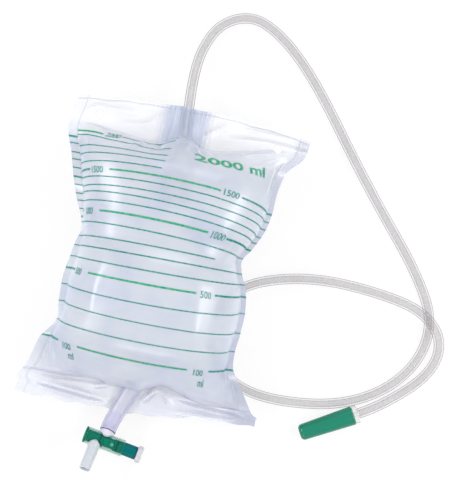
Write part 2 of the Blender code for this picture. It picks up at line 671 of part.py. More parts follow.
def tap_body(frame):
    """Clear moulded cross tube with its inlet spigot and its spout.

    The frame's X is u and its Y is minus w, so the spigot stands at +Y and the spout at -Y.
    """
    bore = BODY_R - BODY_WALL
    lip = 0.1 * BODY_WALL
    profile = [
        (0.0, 0.0), (0.0, BODY_R - lip), (lip, BODY_R),
        (BODY_LENGTH - lip, BODY_R), (BODY_LENGTH, BODY_R - lip), (BODY_LENGTH, 0.0),
    ]
    body = turned("tap_body", profile, CLEAR_LOOK, frame, sides=32)
    inlet, spout = (INLET_U, 0.0, 0.0), (SPOUT_U, 0.0, 0.0)
    middle, deep = 0.3 * BODY_R, BODY_R - 0.4 * BODY_WALL
    collar_end, boss_end = BODY_R + COLLAR_LENGTH, BODY_R + SPOUT_BOSS_LENGTH
    spigot = [
        (middle, 0.0), (middle, COLLAR_R), (collar_end, COLLAR_R), (collar_end, SPIGOT_R),
        (SPIGOT_TIP_W, SPIGOT_R), (SPIGOT_TIP_W, SPIGOT_BORE_R), (deep, SPIGOT_BORE_R), (deep, 0.0),
    ]
    spout_pipe = [
        (-middle, 0.0), (-middle, SPOUT_BOSS_R), (-boss_end, SPOUT_BOSS_R), (-boss_end, SPOUT_R),
        (-SPOUT_TIP_W, SPOUT_TIP_R), (-SPOUT_TIP_W, SPOUT_BORE_R), (-deep, SPOUT_BORE_R), (-deep, 0.0),
    ]
    combine(body, turned("spigot", spigot, None, frame, axis="Y", at=inlet, spin=0.5), "UNION")
    combine(body, turned("spout", spout_pipe, None, frame, axis="Y", at=spout, spin=0.5), "UNION")
    cross_bore = rod("cross_bore", frame, (0, 0, 0), "X", -GAP, BODY_LENGTH + GAP, bore)
    combine(body, cross_bore, "DIFFERENCE")
    far = collar_end
    combine(body, rod("inlet_hole", frame, inlet, "Y", middle, far, PORT_HOLE_R, sides=16), "DIFFERENCE")
    far = -boss_end
    combine(body, rod("spout_hole", frame, spout, "Y", -middle, far, PORT_HOLE_R, sides=16), "DIFFERENCE")
    dimple_profile = [
        (BODY_R - DIMPLE_DEPTH, 0.0), (BODY_R - DIMPLE_DEPTH, DIMPLE_R),
        (BODY_R + DIMPLE_DEPTH, DIMPLE_R), (BODY_R + DIMPLE_DEPTH, 0.0),
    ]
    dimple_at = frame.matrix_world @ Vector((DIMPLE_U, 0, 0))
    upright = make_frame("dimple_frame", dimple_at, (0, 0, 1), (0, 1, 0))
    combine(body, turned("dimple", dimple_profile, None, upright, sides=12), "DIFFERENCE")
    return body


def seal_sizes():
    """Middle radius of a seal ring, and the radius of the groove that it sits in."""
    outside = BODY_R - BODY_WALL - GAP + SEAL_PROUD
    middle = outside - SEAL_THICKNESS / 2
    return middle, middle - SEAL_THICKNESS / 2 - SEAL_CLEARANCE


def plunger(frame):
    """Green plunger: disc, two sealing lands with their grooves, a thin neck and the push end."""
    land = BODY_R - BODY_WALL - GAP
    groove = seal_sizes()[1]
    half = SEAL_THICKNESS / 2 + 2 * SEAL_CLEARANCE
    end = BODY_LENGTH + PLUNGER_LENGTH_OUT
    disc_back = -GAP
    edge = 0.3 * PLUNGER_DISC_T
    land_width = 2.2 * SEAL_THICKNESS
    profile = [
        (disc_back - PLUNGER_DISC_T, 0.0), (disc_back - PLUNGER_DISC_T, PLUNGER_DISC_R - edge),
        (disc_back - PLUNGER_DISC_T + edge, PLUNGER_DISC_R), (disc_back - edge, PLUNGER_DISC_R),
        (disc_back, PLUNGER_DISC_R - edge), (disc_back, land),
        (SEAL_LEFT_U - half, land), (SEAL_LEFT_U - half, groove),
        (SEAL_LEFT_U + half, groove), (SEAL_LEFT_U + half, land),
        (SEAL_LEFT_U + land_width, land), (SEAL_LEFT_U + land_width + edge, NECK_R),
        (SEAL_RIGHT_U - land_width - edge, NECK_R), (SEAL_RIGHT_U - land_width, land),
        (SEAL_RIGHT_U - half, land), (SEAL_RIGHT_U - half, groove),
        (SEAL_RIGHT_U + half, groove), (SEAL_RIGHT_U + half, land),
        (end, land), (end, BUTTON_PIN_R), (end + BUTTON_PIN_LENGTH, BUTTON_PIN_R),
        (end + BUTTON_PIN_LENGTH, 0.0),
    ]
    return turned("plunger", profile, GREEN_LOOK, frame)


def seal(name, frame, u):
    """One rubber ring in its groove on the plunger."""
    middle = seal_sizes()[0]
    round_section = []
    for step in range(SEAL_SIDES):
        angle = 2.0 * math.pi * step / SEAL_SIDES
        along = u + SEAL_THICKNESS / 2 * math.cos(angle)
        round_section.append((along, middle + SEAL_THICKNESS / 2 * math.sin(angle)))
    return turned(name, round_section, SEAL_LOOK, frame)


def push_button(frame):
    """White button pressed on the plunger's pin, with rounded edges."""
    start = BODY_LENGTH + PLUNGER_LENGTH_OUT + GAP
    socket_r = BUTTON_PIN_R + GAP
    socket_end = start + BUTTON_PIN_LENGTH
    end = start + BUTTON_T
    soft = 0.25 * BUTTON_T
    profile = [
        (start, socket_r), (start, BUTTON_R - 0.4 * soft), (start + 0.4 * soft, BUTTON_R),
        (end - soft, BUTTON_R), (end - 0.3 * soft, BUTTON_R - 0.3 * soft),
        (end, BUTTON_R - soft), (end, 0.0), (socket_end, 0.0), (socket_end, socket_r),
    ]
    return turned("push_button", profile, WHITE_LOOK, frame)


def cap_axes():
    """The cap's open end on the table and its axis towards the tube, tilted by the cap's taper."""
    tilt = math.asin((CAP_OPEN_R - CAP_CLOSED_R) / CAP_LENGTH)
    level = math.cos(tilt)
    way = Vector((math.cos(CAP_TURN) * level, math.sin(CAP_TURN) * level, math.sin(tilt)))
    return Vector((CAP_OPEN_X, CAP_OPEN_Y, CAP_OPEN_R)), way


def connector(frame):
    """Clear connector: collar ring, boss that grips the cap, stepped cone and a through bore."""
    boss_r = CAP_OPEN_R - CAP_WALL - GAP
    back = GAP + COLLAR_RING_T
    soft = 0.15 * COLLAR_RING_T
    profile = [
        (back, CONNECTOR_BORE_R), (back, COLLAR_RING_R - soft), (back - soft, COLLAR_RING_R),
        (GAP + soft, COLLAR_RING_R), (GAP, COLLAR_RING_R - soft), (GAP, boss_r),
        (-BOSS_LENGTH, boss_r - (CAP_OPEN_R - CAP_CLOSED_R) * BOSS_LENGTH / CAP_LENGTH),
    ]
    for step in range(CONE_STEPS):
        start = -BOSS_LENGTH - CONE_LENGTH * step / CONE_STEPS
        stop = -BOSS_LENGTH - CONE_LENGTH * (step + 1) / CONE_STEPS
        base = CONE_BASE_R + (CONE_TIP_R - CONE_BASE_R) * step / CONE_STEPS
        tip = CONE_BASE_R + (CONE_TIP_R - CONE_BASE_R) * (step + 1) / CONE_STEPS
        profile += [(start, base), (stop, tip + CONE_STEP)]
    profile.append((-BOSS_LENGTH - CONE_LENGTH, CONNECTOR_BORE_R))
    return turned("inlet_connector", profile, CLEAR_LOOK, frame)


def protective_cap(frame):
    """Green tapered cap with a closed, rounded end."""
    end = -CAP_LENGTH
    inner_end = end + 1.6 * CAP_WALL
    inner_open, inner_closed = CAP_OPEN_R - CAP_WALL, CAP_CLOSED_R - CAP_WALL
    profile = [(0.0, inner_open), (0.0, CAP_OPEN_R - 0.3 * CAP_WALL), (-0.3 * CAP_WALL, CAP_OPEN_R)]
    for step in range(5):
        angle = math.pi / 2 * step / 4
        along = end + CAP_CORNER * (1 - math.sin(angle))
        profile.append((along, CAP_CLOSED_R - CAP_CORNER * (1 - math.cos(angle))))
    profile += [(end, 0.0), (inner_end, 0.0), (inner_end, inner_closed - 0.6 * CAP_WALL)]
    profile.append((inner_end + 0.6 * CAP_WALL, inner_closed))
    return turned("protective_cap", profile, GREEN_LOOK, frame)


def build():
    """Make every piece of the bag."""
    clear_scene()
    film("front_film", True)
    film("back_film", False)
    non_return_valve()
    outlet_tube()

    left, u, w = tap_axes()
    tap_frame = make_frame("tap_frame", left, u, u.cross(-w))
    bpy.context.view_layer.update()
    tap_body(tap_frame)
    plunger(tap_frame)
    seal("seal_left", tap_frame, SEAL_LEFT_U)
    seal("seal_right", tap_frame, SEAL_RIGHT_U)
    push_button(tap_frame)

    open_end, way = cap_axes()
    cap_frame = make_frame("cap_frame", open_end, way, (0, 0, 1))
    protective_cap(cap_frame)
    connector(cap_frame)
    inlet_tube(open_end + way * (COLLAR_RING_T + 3 * GAP))
    for piece in bpy.data.objects:
        if piece.parent is None:
            piece.location.y += MIDDLE_Y


build()
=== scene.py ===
"""Looks of a two-litre urine drainage bag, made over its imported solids.

The films, the scale printed on the front one, the tube, the tap, the connector and its cap are
surfaces worked out from the same named sizes as the solids. Places are in metres. They are worked
out in the films' own frame, whose origin lies MIDDLE_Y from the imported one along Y.
"""

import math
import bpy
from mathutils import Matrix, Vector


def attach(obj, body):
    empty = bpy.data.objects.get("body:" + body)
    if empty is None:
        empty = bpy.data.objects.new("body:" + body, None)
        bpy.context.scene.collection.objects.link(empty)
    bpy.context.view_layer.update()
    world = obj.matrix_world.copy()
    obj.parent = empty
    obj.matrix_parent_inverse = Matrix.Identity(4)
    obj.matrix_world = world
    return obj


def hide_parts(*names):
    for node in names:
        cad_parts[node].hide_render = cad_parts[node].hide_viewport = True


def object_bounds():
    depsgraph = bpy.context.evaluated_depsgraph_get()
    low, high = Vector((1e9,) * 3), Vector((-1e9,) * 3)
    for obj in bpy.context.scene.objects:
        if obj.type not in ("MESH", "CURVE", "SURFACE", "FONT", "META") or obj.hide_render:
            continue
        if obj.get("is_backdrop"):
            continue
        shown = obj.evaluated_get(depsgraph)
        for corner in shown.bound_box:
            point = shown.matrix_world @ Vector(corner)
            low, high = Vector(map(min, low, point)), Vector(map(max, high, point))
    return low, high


bl_info = {
    "name": "Urine drainage bag",
    "version": (1, 0, 0),
    "blender": (4, 5, 0),
    "location": "View3D > Sidebar > Drainage bag",
    "description": "Two-litre drainage bag with inlet tube, capped connector and push-pull tap",
    "category": "Add Mesh",
}

import bmesh
import bpy
import numpy as np
from bpy.props import FloatProperty, FloatVectorProperty, PointerProperty
from bpy.types import Operator, Panel, PropertyGroup
from mathutils import Matrix, Vector

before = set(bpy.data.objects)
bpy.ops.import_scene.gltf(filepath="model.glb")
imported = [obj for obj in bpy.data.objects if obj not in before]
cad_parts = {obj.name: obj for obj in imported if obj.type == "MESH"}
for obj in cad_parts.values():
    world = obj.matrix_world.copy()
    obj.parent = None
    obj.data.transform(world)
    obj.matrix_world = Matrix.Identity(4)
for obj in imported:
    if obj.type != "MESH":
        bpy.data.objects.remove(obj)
CAD_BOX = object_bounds()

MM = 0.001
UP = np.array([0.0, 0.0, 1.0])

# Films, as they are cut flat
FLAT_WIDTH = 200.0 * MM
FIN_WIDTH = 8.0 * MM
CORNER = FLAT_WIDTH / 2 - FIN_WIDTH
FILM = 0.4 * MM
TOP_EDGE_Y = 156.0 * MM
TOP_WELD_Y = 125.0 * MM
BOTTOM_WELD_Y = -70.0 * MM
BOTTOM_EDGE_Y = -101.5 * MM
TOP_EDGE_ARCH = 8.0 * MM
BOTTOM_EDGE_LIFT = 8.5 * MM

# Bag as it stands inflated
CROWN_RISE = 42.0 * MM
UPPER_CROWN_RISE = 35.0 * MM
WAIST_Y = 40.0 * MM
WAIST_DIP = 9.0 * MM
WAIST_REACH = 15.0 * MM
WAIST_LIFT = 7.0 * MM
END_ROUNDING = 32.0 * MM
PATCH_SHARE = 0.16
PATCH_WIDTH_SHARE = 0.11
FIN_TURN_RIGHT = math.radians(52.0)
MIDDLE_Y = -0.906 * MM
GAP = 0.3 * MM
CHANNEL_CLEARANCE = 0.7 * MM
CHANNEL_FADE = 12.0 * MM

# Hanging holes of the top flange
HANG_HOLE_R = 3.5 * MM
HANG_HOLE_X = 75.0 * MM
HANG_HOLE_FROM_EDGE = 16.0 * MM

# Inlet tube and the valve at its inner end
TUBE_TOP_X = -4.2 * MM
TUBE_LEAN = -0.055
TUBE_INNER_END = 2.0 * MM
VALVE_LENGTH = 50.0 * MM
VALVE_LIP_WIDTH = 27.0 * MM
VALVE_WALL = 0.25 * MM
VALVE_SLIT = 0.4 * MM

# Outlet tube from the bottom flange to the tap's spigot
SPIGOT_R = 5.0 * MM
SPIGOT_BORE_R = 3.6 * MM
OUTLET_BORE_R = SPIGOT_R + GAP
OUTLET_R = OUTLET_BORE_R + 1.45 * MM
OUTLET_EDGE_X = -12.5 * MM
OUTLET_EDGE_Z = 14.0 * MM
OUTLET_ANGLE = math.radians(20.0)
OUTLET_FALL = math.radians(3.0)
OUTLET_INSIDE = 26.0 * MM
OUTLET_STRAIGHT = 8.0 * MM

# Tap: u runs along its barrel from the left end, w towards the spout
TAP_LEFT = np.array([-33.2, -125.2, 20.4]) * MM
TAP_TURN = math.radians(-9.5)
TAP_PITCH = math.radians(24.0)
BODY_R = 7.0 * MM
BODY_LENGTH = 31.8 * MM
BODY_WALL = 1.25 * MM
INLET_U = 14.5 * MM
SPIGOT_TIP_W = 14.2 * MM
COLLAR_R = 6.3 * MM
COLLAR_LENGTH = 1.6 * MM
SPOUT_U = 8.5 * MM
SPOUT_R = 4.9 * MM
SPOUT_TIP_R = 4.6 * MM
SPOUT_BORE_R = 3.65 * MM
SPOUT_TIP_W = 28.4 * MM
SPOUT_BOSS_R = 5.7 * MM
SPOUT_BOSS_LENGTH = 1.0 * MM
DIMPLE_U = 22.2 * MM
DIMPLE_R = 1.7 * MM
PLUNGER_LENGTH_OUT = 11.6 * MM
PLUNGER_DISC_R = 7.0 * MM
PLUNGER_DISC_T = 1.9 * MM
NECK_R = 4.4 * MM
SEAL_LEFT_U = 11.5 * MM
SEAL_RIGHT_U = BODY_LENGTH - 5.3 * MM
SEAL_THICKNESS = 1.2 * MM
SEAL_PROUD = 0.1 * MM
SEAL_CLEARANCE = 0.08 * MM
BUTTON_R = 7.1 * MM
BUTTON_T = 4.4 * MM
BUTTON_PIN_R = 3.0 * MM
BUTTON_PIN_LENGTH = 2.6 * MM

# Connector and cap: the cap's open end and the way from it to the tube
CAP_OPEN = np.array([179.6, -67.0, 8.0]) * MM
CAP_TURN = math.radians(29.6)
CAP_OPEN_R = 8.0 * MM
CAP_CLOSED_R = 6.8 * MM
CAP_LENGTH = 47.0 * MM
CAP_WALL = 1.3 * MM
COLLAR_RING_R = 7.6 * MM
COLLAR_RING_T = 3.8 * MM
BOSS_LENGTH = 5.0 * MM
CONE_BASE_R = 3.9 * MM
CONE_TIP_R = 2.7 * MM
CONE_LENGTH = 34.0 * MM
CONE_STEPS = 3
CONE_STEP = 0.25 * MM
CONNECTOR_BORE_R = 1.9 * MM

# Outline of the inflated bag: station, reach to the left and to the right of x = 0, in mm
OUTLINE = [
    (-101.5, 100.75, 100.6), (-94.0, 99.6, 100.6), (-87.0, 97.8, 100.5), (-81.0, 100.2, 100.6),
    (-75.0, 100.6, 100.6), (-71.5, 99.2, 96.5), (-68.0, 95.8, 93.6), (-52.0, 86.3, 75.5),
    (-38.0, 76.5, 72.6), (-20.0, 77.4, 74.0), (0.0, 77.8, 74.3), (16.0, 75.5, 71.5),
    (30.0, 73.5, 65.5), (40.0, 71.0, 63.5), (50.0, 73.5, 69.5), (66.0, 80.5, 77.0),
    (82.0, 86.0, 80.4), (102.0, 92.0, 82.0), (112.0, 96.0, 86.0), (121.0, 98.3, 96.5),
    (128.0, 98.0, 98.8), (140.0, 96.5, 99.2), (156.0, 95.5, 100.3),
]

# Turn of the left fin below the level at stations along the bag, in degrees
FIN_TURN_LEFT = [
    (-101.5, 8.0), (-66.0, 8.0), (-54.0, 18.0), (-46.0, 45.0), (-37.0, 66.0), (-24.0, 46.0),
    (8.0, 42.0), (28.0, 48.0), (42.0, 72.0), (52.0, 68.0), (62.0, 42.0), (76.0, 16.0), (90.0, 8.0),
    (156.0, 8.0),
]

# Height of the weld between the films above the table, in mm
SEAM_HEIGHT = [
    (-70.0, 17.6), (-58.0, 27.5), (-44.0, 35.5), (-25.0, 38.0), (10.0, 38.0), (40.0, 35.5),
    (70.0, 37.0), (100.0, 38.0), (125.0, 36.5), (140.0, 32.3), (156.0, 26.5),
]

# How far the front film's crown carries a straight line of the flat film along Y, in mm
CROWN_SHIFT = [
    (-70.0, 0.0), (-62.0, -4.5), (-50.0, -6.9), (-37.0, -6.2), (-22.0, -6.4),
    (-7.0, -6.6), (8.0, -4.5), (18.0, -3.1), (30.0, 0.0), (43.0, 3.0), (52.0, 5.0),
    (66.0, 7.0), (81.5, 8.5), (97.0, 8.5), (112.0, 6.0), (120.0, 3.0), (125.0, 0.0),
]

# How far the top weld is pulled along Y at places across the bag, in mm
WELD_SHIFT = [
    (-100.0, 0.5), (-88.0, 1.0), (-76.0, 1.4), (-62.0, -0.7), (-50.0, -1.8), (-38.0, -3.4),
    (-26.0, -4.0), (-17.0, -1.5), (-9.0, 2.4), (-3.5, 4.6), (4.0, 3.6), (12.5, -0.8),
    (27.5, -0.8), (42.0, 1.7), (56.0, 5.0), (76.0, 9.5), (100.0, 9.0),
]
WELD_SHIFT_REACH = 34.0 * MM
LOW_WELD_SHIFT = [
    (-100.0, -12.6), (-89.0, -11.3), (-70.0, -10.0), (-48.0, -7.5), (-32.0, -9.2), (-17.0, -10.8),
    (-6.0, -11.5), (1.0, -11.5), (7.0, -8.4), (19.0, -3.6), (32.0, -6.3), (50.0, -10.0),
    (70.0, -10.6), (100.0, -11.0),
]
LOW_WELD_SHIFT_REACH = 17.0 * MM
EDGE_WAVE = 0.7 * MM
EDGE_WAVE_PERIOD = 41.0 * MM

# Folds of both films in the flanges, from a place seen from above to another, and those of the
# front film's pillow, from a flat point to another: half width and height, in mm
FLANGE_FOLDS = [
    (-99.0, -84.0, -20.0, -80.0, 2.2, -2.8), (-99.0, -78.5, -30.0, -77.5, 2.2, 1.8),
    (-99.0, -88.5, -6.0, -95.0, 3.0, 4.2), (-90.0, -93.0, -26.0, -98.5, 2.2, -2.4),
    (-44.0, -87.0, -16.0, -79.0, 2.6, 2.8), (2.0, -93.0, 18.0, -75.0, 2.8, 4.0),
    (18.0, -80.0, 99.0, -84.0, 2.4, 3.6), (26.0, -86.0, 99.0, -88.5, 2.4, -3.0),
    (6.0, -93.0, 99.0, -93.5, 2.8, 2.8), (16.0, -75.0, 34.0, -91.0, 2.8, 2.4),
    (-66.0, 130.0, -14.0, 136.0, 3.5, 1.8), (-94.0, 140.0, -40.0, 143.0, 3.0, 1.4),
    (8.0, 128.0, 32.0, 149.0, 2.6, 2.6), (20.0, 134.0, 90.0, 141.0, 3.2, 2.2),
    (38.0, 147.0, 94.0, 145.0, 2.6, 1.5), (-92.0, 130.0, -70.0, 148.0, 2.6, 1.6),
    (-42.0, 129.0, -14.0, 151.0, 4.0, 1.6), (10.0, 129.0, 48.0, 131.0, 3.0, -2.0),
]
PILLOW_FOLDS = [
    (88.0, 122.0, 52.0, 104.0, 2.4, 1.8), (90.0, 120.0, 68.0, 92.0, 2.6, 1.7),
    (91.0, 118.0, 82.0, 84.0, 2.2, 1.4), (86.0, 123.0, 30.0, 116.0, 2.2, 1.2),
    (-88.0, 120.0, -66.0, 102.0, 2.4, 1.2), (-20.0, 122.0, -16.0, 106.0, 2.6, -1.8),
    (-30.0, 122.0, -36.0, 104.0, 3.0, 1.4), (62.0, 44.0, 34.0, 60.0, 3.0, 1.2),
    (70.0, 42.0, 46.0, 30.0, 3.0, 1.1), (-74.0, 42.0, -50.0, 54.0, 3.0, 0.9),
    (-40.0, 34.0, -46.0, -40.0, 6.0, 0.8), (-14.0, 30.0, -20.0, -30.0, 7.0, 0.7),
    (30.0, 26.0, 34.0, -44.0, 7.0, 0.8), (84.0, -46.0, 74.0, -66.0, 2.6, 1.8),
    (-84.0, -48.0, -74.0, -68.0, 2.8, 1.8), (-60.0, -66.0, 0.0, -62.0, 3.4, 0.9),
    (20.0, -66.0, 80.0, -60.0, 3.4, 0.9), (-60.0, 96.0, -54.0, 60.0, 6.0, 0.7),
    (20.0, 100.0, 26.0, 56.0, 7.0, 0.6), (92.0, -50.0, 84.0, -69.0, 1.5, 1.6),
    (-91.0, -52.0, -80.0, -69.0, 1.6, 1.6), (14.0, 118.0, 22.0, 108.0, 2.0, 1.3),
    (0.0, 120.0, 4.0, 108.0, 2.2, 1.2), (8.0, 120.0, 12.0, 106.0, 1.8, 1.0),
]
RIB_PERIOD = 3.7 * MM
RIB_FROM_TUBE = 8.0 * MM
RIB_REACH = 34.0 * MM

# Scale on the flat front film: value, height at the left and the right weld, in mm
THIN_MARKS = [
    (1900, 114.7, 101.9), (1800, 105.8, 97.6), (1700, 98.9, 94.2), (1600, 91.6, 88.5),
    (1400, 79.7, 75.2), (1300, 73.3, 68.7), (1200, 68.9, 61.8), (1100, 61.9, 56.4),
    (900, 45.7, 41.9), (800, 34.4, 35.0), (700, 26.2, 28.7), (600, 16.8, 20.3),
    (400, -6.8, -2.7), (300, -20.9, -19.0), (200, -36.3, -34.6),
]
BOLD_MARKS = [
    (2000, 117.9, 109.3), (1500, 85.2, 81.8), (1000, 54.3, 50.0), (500, 7.1, 10.8),
    (100, -50.5, -49.9),
]
# Stretches of each bold mark seen from above, and the middles of its two numbers, in mm
BOLD_STRETCHES = {
    2000: [(-100.0, -66.0)],
    1500: [(-100.0, -72.5), (-56.0, 36.0), (54.0, 100.0)],
    1000: [(-100.0, -71.0), (-57.0, 33.0), (48.5, 100.0)],
    500: [(-100.0, -67.5), (-55.5, 32.8), (48.0, 100.0)],
    100: [(-100.0, -70.5), (-53.0, 37.0), (54.5, 100.0)],
}
NUMBERS = {
    2000: [(-59.2, 118.9)],
    1500: [(-65.7, 88.8), (45.4, 89.7)],
    1000: [(-65.8, 55.0), (41.2, 54.6)],
    500: [(-64.0, 4.9), (40.7, 5.7)],
    100: [(-62.7, -56.1), (46.6, -56.5)],
}
# Ends of the lines that stop short of the right weld, seen from above, in mm
SHORT_MARKS_END = {2000: -8.0, 1900: -10.0, 1800: -11.5, 1700: -12.5, 1600: -14.0, 800: 42.0}
SHORT_2000_START = -49.5 * MM
# From WELD_REACH on, a stretch runs to the weld or over the fin. Bold stretches whose middle
# lies further out than OUTER_STRETCH are printed in the thin lines' ink. In mm
FULL_REACH = 100.0
WELD_REACH = 99.0
OUTER_STRETCH = 45.0
# Flat heights of the marks' own short pieces on the left fin, in mm, and their margins
FIN_MARKS = {
    2000: 112.6, 1900: 107.5, 1800: 100.5, 1700: 95.0, 1600: 88.4, 1500: 81.3, 1400: 75.1,
    1300: 68.4, 1200: 62.9, 1100: 56.5, 1000: 50.1, 500: 6.6, 100: -51.0,
}
FIN_MARGIN = 0.3 * MM
FIN_MARK_GAP = 0.4 * MM
# Middles of the units and of the capacity, seen from above, in mm, and sizes of the letters
UNIT_PLACES = [(-58.0, -63.5), (50.0, -64.5)]
CAPACITY_PLACE = (43.2, 113.4)
CAPACITY_WIDTH = 61.0 * MM
CAPACITY_HEIGHT = 6.8 * MM
CAPACITY_BOLDER = 0.024
DIGIT_WIDTH = 3.1 * MM
DIGIT_BOLDER = 0.016
UNIT_WIDTH = 1.7 * DIGIT_WIDTH
UNIT_HEIGHT_SHARE = 0.75
# Thickness of the ink, the longest stretch of a line and the longest edge of a letter one unit high
INK = 0.05 * MM
INK_STEP = 1.2 * MM
LETTER_STEP = 0.2

# Route of the tube on the table, outside the flange, in metres
TUBE_ROUTE = [
    (-0.0049, 0.1660, 0.0217), (-0.0055, 0.1780, 0.0170), (-0.0055, 0.1900, 0.0122),
    (-0.0044, 0.2030, 0.0079), (-0.0013, 0.2151, 0.0052), (0.0061, 0.2295, 0.0045),
    (0.0183, 0.2393, 0.0045), (0.0330, 0.2429, 0.0045), (0.0514, 0.2372, 0.0045),
    (0.0729, 0.2219, 0.0045), (0.0940, 0.2005, 0.0045), (0.1351, 0.1487, 0.0045),
    (0.1768, 0.0973, 0.0045), (0.2178, 0.0440, 0.0045), (0.2256, 0.0275, 0.0045),
    (0.2279, 0.0086, 0.0045), (0.2210, -0.0158, 0.0045), (0.2022, -0.0393, 0.0045),
    (0.1754, -0.0558, 0.0045), (0.1535, -0.0627, 0.0045), (0.1260, -0.0664, 0.0045),
    (0.1008, -0.0662, 0.0045), (0.0680, -0.0546, 0.0045), (0.0564, -0.0426, 0.0045),
    (0.0502, -0.0264, 0.0045), (0.0514, -0.0070, 0.0045), (0.0600, 0.0098, 0.0045),
    (0.0735, 0.0218, 0.0045), (0.0900, 0.0294, 0.0045), (0.1312, 0.0379, 0.0045),
    (0.1743, 0.0370, 0.0054), (0.1959, 0.0340, 0.0088), (0.2108, 0.0302, 0.0118),
    (0.2246, 0.0231, 0.0137), (0.2344, 0.0131, 0.0126), (0.2388, 0.0004, 0.0092),
    (0.2371, -0.0131, 0.0060), (0.2279, -0.0287, 0.0047), (0.2127, -0.0438, 0.0052),
    (0.1973, -0.0560, 0.0073),
]
PATH_STEP = 3.0 * MM

# Point that the camera looks at, in the films' frame
VIEW_TARGET = (49.0 * MM, 55.3 * MM, 0.0)
MERGE_DISTANCE = 1e-7

# Where the film's colour is changed, with its strength and colour there. The tints beside the
# tube, at the bottom flange's right end, on the right fin and on the bottom flange's slopes are
# painted shade; that of steep film is partly its own denser look edge-on and partly painted shade.
FILM_TINTS = {
    "welded flanges": (1.0, (0.96, 0.97, 1.0)),
    # painted shade beside the tube, in the top flange
    "beside the tube": (0.8, (0.46, 0.54, 0.74)),
    # painted shade at the right end of the bottom flange
    "painted shade at the right end of the bottom flange": (0.8, (0.44, 0.47, 0.58)),
    # painted shade on the right fin
    "right fin": (0.6, (0.50, 0.53, 0.66)),
    # painted shade on the slopes of the bottom flange
    "painted shade on the slopes of the bottom flange": (1.0, (0.46, 0.48, 0.70)),
    # darker where the film is seen edge-on: partly the film's own denser look, partly painted shade
    "steep film, partly painted shade": (1.0, (0.58, 0.62, 0.78)),
    "pressed lines": (0.5, (0.36, 0.38, 0.46)),
}
HAZE_SHARE = (0.84, 0.86, 0.95)
PRESSED_LINE_Y = 153.4 * MM


class FilmSettings(PropertyGroup):
    """Look of the two films."""

    colour: FloatVectorProperty(
        name="Film colour", description="Colour that the milky film scatters", subtype="COLOR",
        size=3, min=0.0, max=1.0, default=(0.685, 0.735, 0.80))
    opacity: FloatProperty(
        name="Opacity", description="Share of light that one skin of a film stops, seen squarely",
        min=0.05, max=1.0, default=0.40, subtype="FACTOR")
    flange_opening: FloatProperty(
        name="Flange opening", description="How much clearer the film is in the flanges",
        min=0.0, max=0.5, default=0.20, subtype="FACTOR")
    gloss: FloatProperty(
        name="Roughness", description="Roughness of the film's skin",
        min=0.0, max=1.0, default=0.36, subtype="FACTOR")
    rib_height: FloatProperty(
        name="Rib height", description="Height of the fine ribs beside the welded-in tube",
        default=0.42 * MM, min=0.0, max=1.0 * MM, subtype="DISTANCE", unit="LENGTH")


class PrintSettings(PropertyGroup):
    """Sizes and colours of the printed scale."""

    bold_colour: FloatVectorProperty(
        name="Bold ink", description="Ink of the bold lines", subtype="COLOR",
        size=3, min=0.0, max=1.0, default=(0.012, 0.30, 0.155))
    thin_colour: FloatVectorProperty(
        name="Thin ink", description="Ink of the thin lines and the numbers", subtype="COLOR",
        size=3, min=0.0, max=1.0, default=(0.0, 0.215, 0.175))
    bold_line: FloatProperty(
        name="Bold line", description="Width of the lines with a number",
        default=1.5 * MM, min=0.2 * MM, max=4.0 * MM, subtype="DISTANCE", unit="LENGTH")
    thin_line: FloatProperty(
        name="Thin line", description="Width of the lines between them",
        default=0.9 * MM, min=0.2 * MM, max=4.0 * MM, subtype="DISTANCE", unit="LENGTH")
    digit_height: FloatProperty(
        name="Number height", description="Height of the scale's numbers",
        default=5.2 * MM, min=1.0 * MM, max=12.0 * MM, subtype="DISTANCE", unit="LENGTH")


class TubeSettings(PropertyGroup):
    """Sizes and colours of the soft tube."""

    diameter: FloatProperty(
        name="Diameter", description="Outside diameter of the inlet tube",
        default=8.5 * MM, min=4.0 * MM, max=14.0 * MM, subtype="DISTANCE", unit="LENGTH")
    bore: FloatProperty(
        name="Bore", description="Inside diameter of the inlet tube",
        default=5.4 * MM, min=1.0 * MM, max=10.0 * MM, subtype="DISTANCE", unit="LENGTH")
    colour: FloatVectorProperty(
        name="Tube colour", description="Colour of the tube where it is seen squarely",
        subtype="COLOR", size=3, min=0.0, max=1.0, default=(0.34, 0.315, 0.33))
    edge_colour: FloatVectorProperty(
        name="Edge colour", description="Colour along the tube's edges, where its wall is deepest",
        subtype="COLOR", size=3, min=0.0, max=1.0, default=(0.04, 0.035, 0.04))


class FittingSettings(PropertyGroup):
    """Colours of the outlet tube, the tap, the connector and the cap."""

    green: FloatVectorProperty(
        name="Green", description="Moulded green of the plunger and the cap", subtype="COLOR",
        size=3, min=0.0, max=1.0, default=(0.0, 0.18, 0.108))
    lavender: FloatVectorProperty(
        name="Lavender", description="Soft outlet tube", subtype="COLOR",
        size=3, min=0.0, max=1.0, default=(0.64, 0.63, 0.83))
    clear: FloatVectorProperty(
        name="Clear plastic", description="Clear moulded plastic of barrel and connector",
        subtype="COLOR", size=3, min=0.0, max=1.0, default=(0.80, 0.84, 0.82))
    white: FloatVectorProperty(
        name="White", description="Moulded white of the button", subtype="COLOR",
        size=3, min=0.0, max=1.0, default=(0.54, 0.53, 0.56))


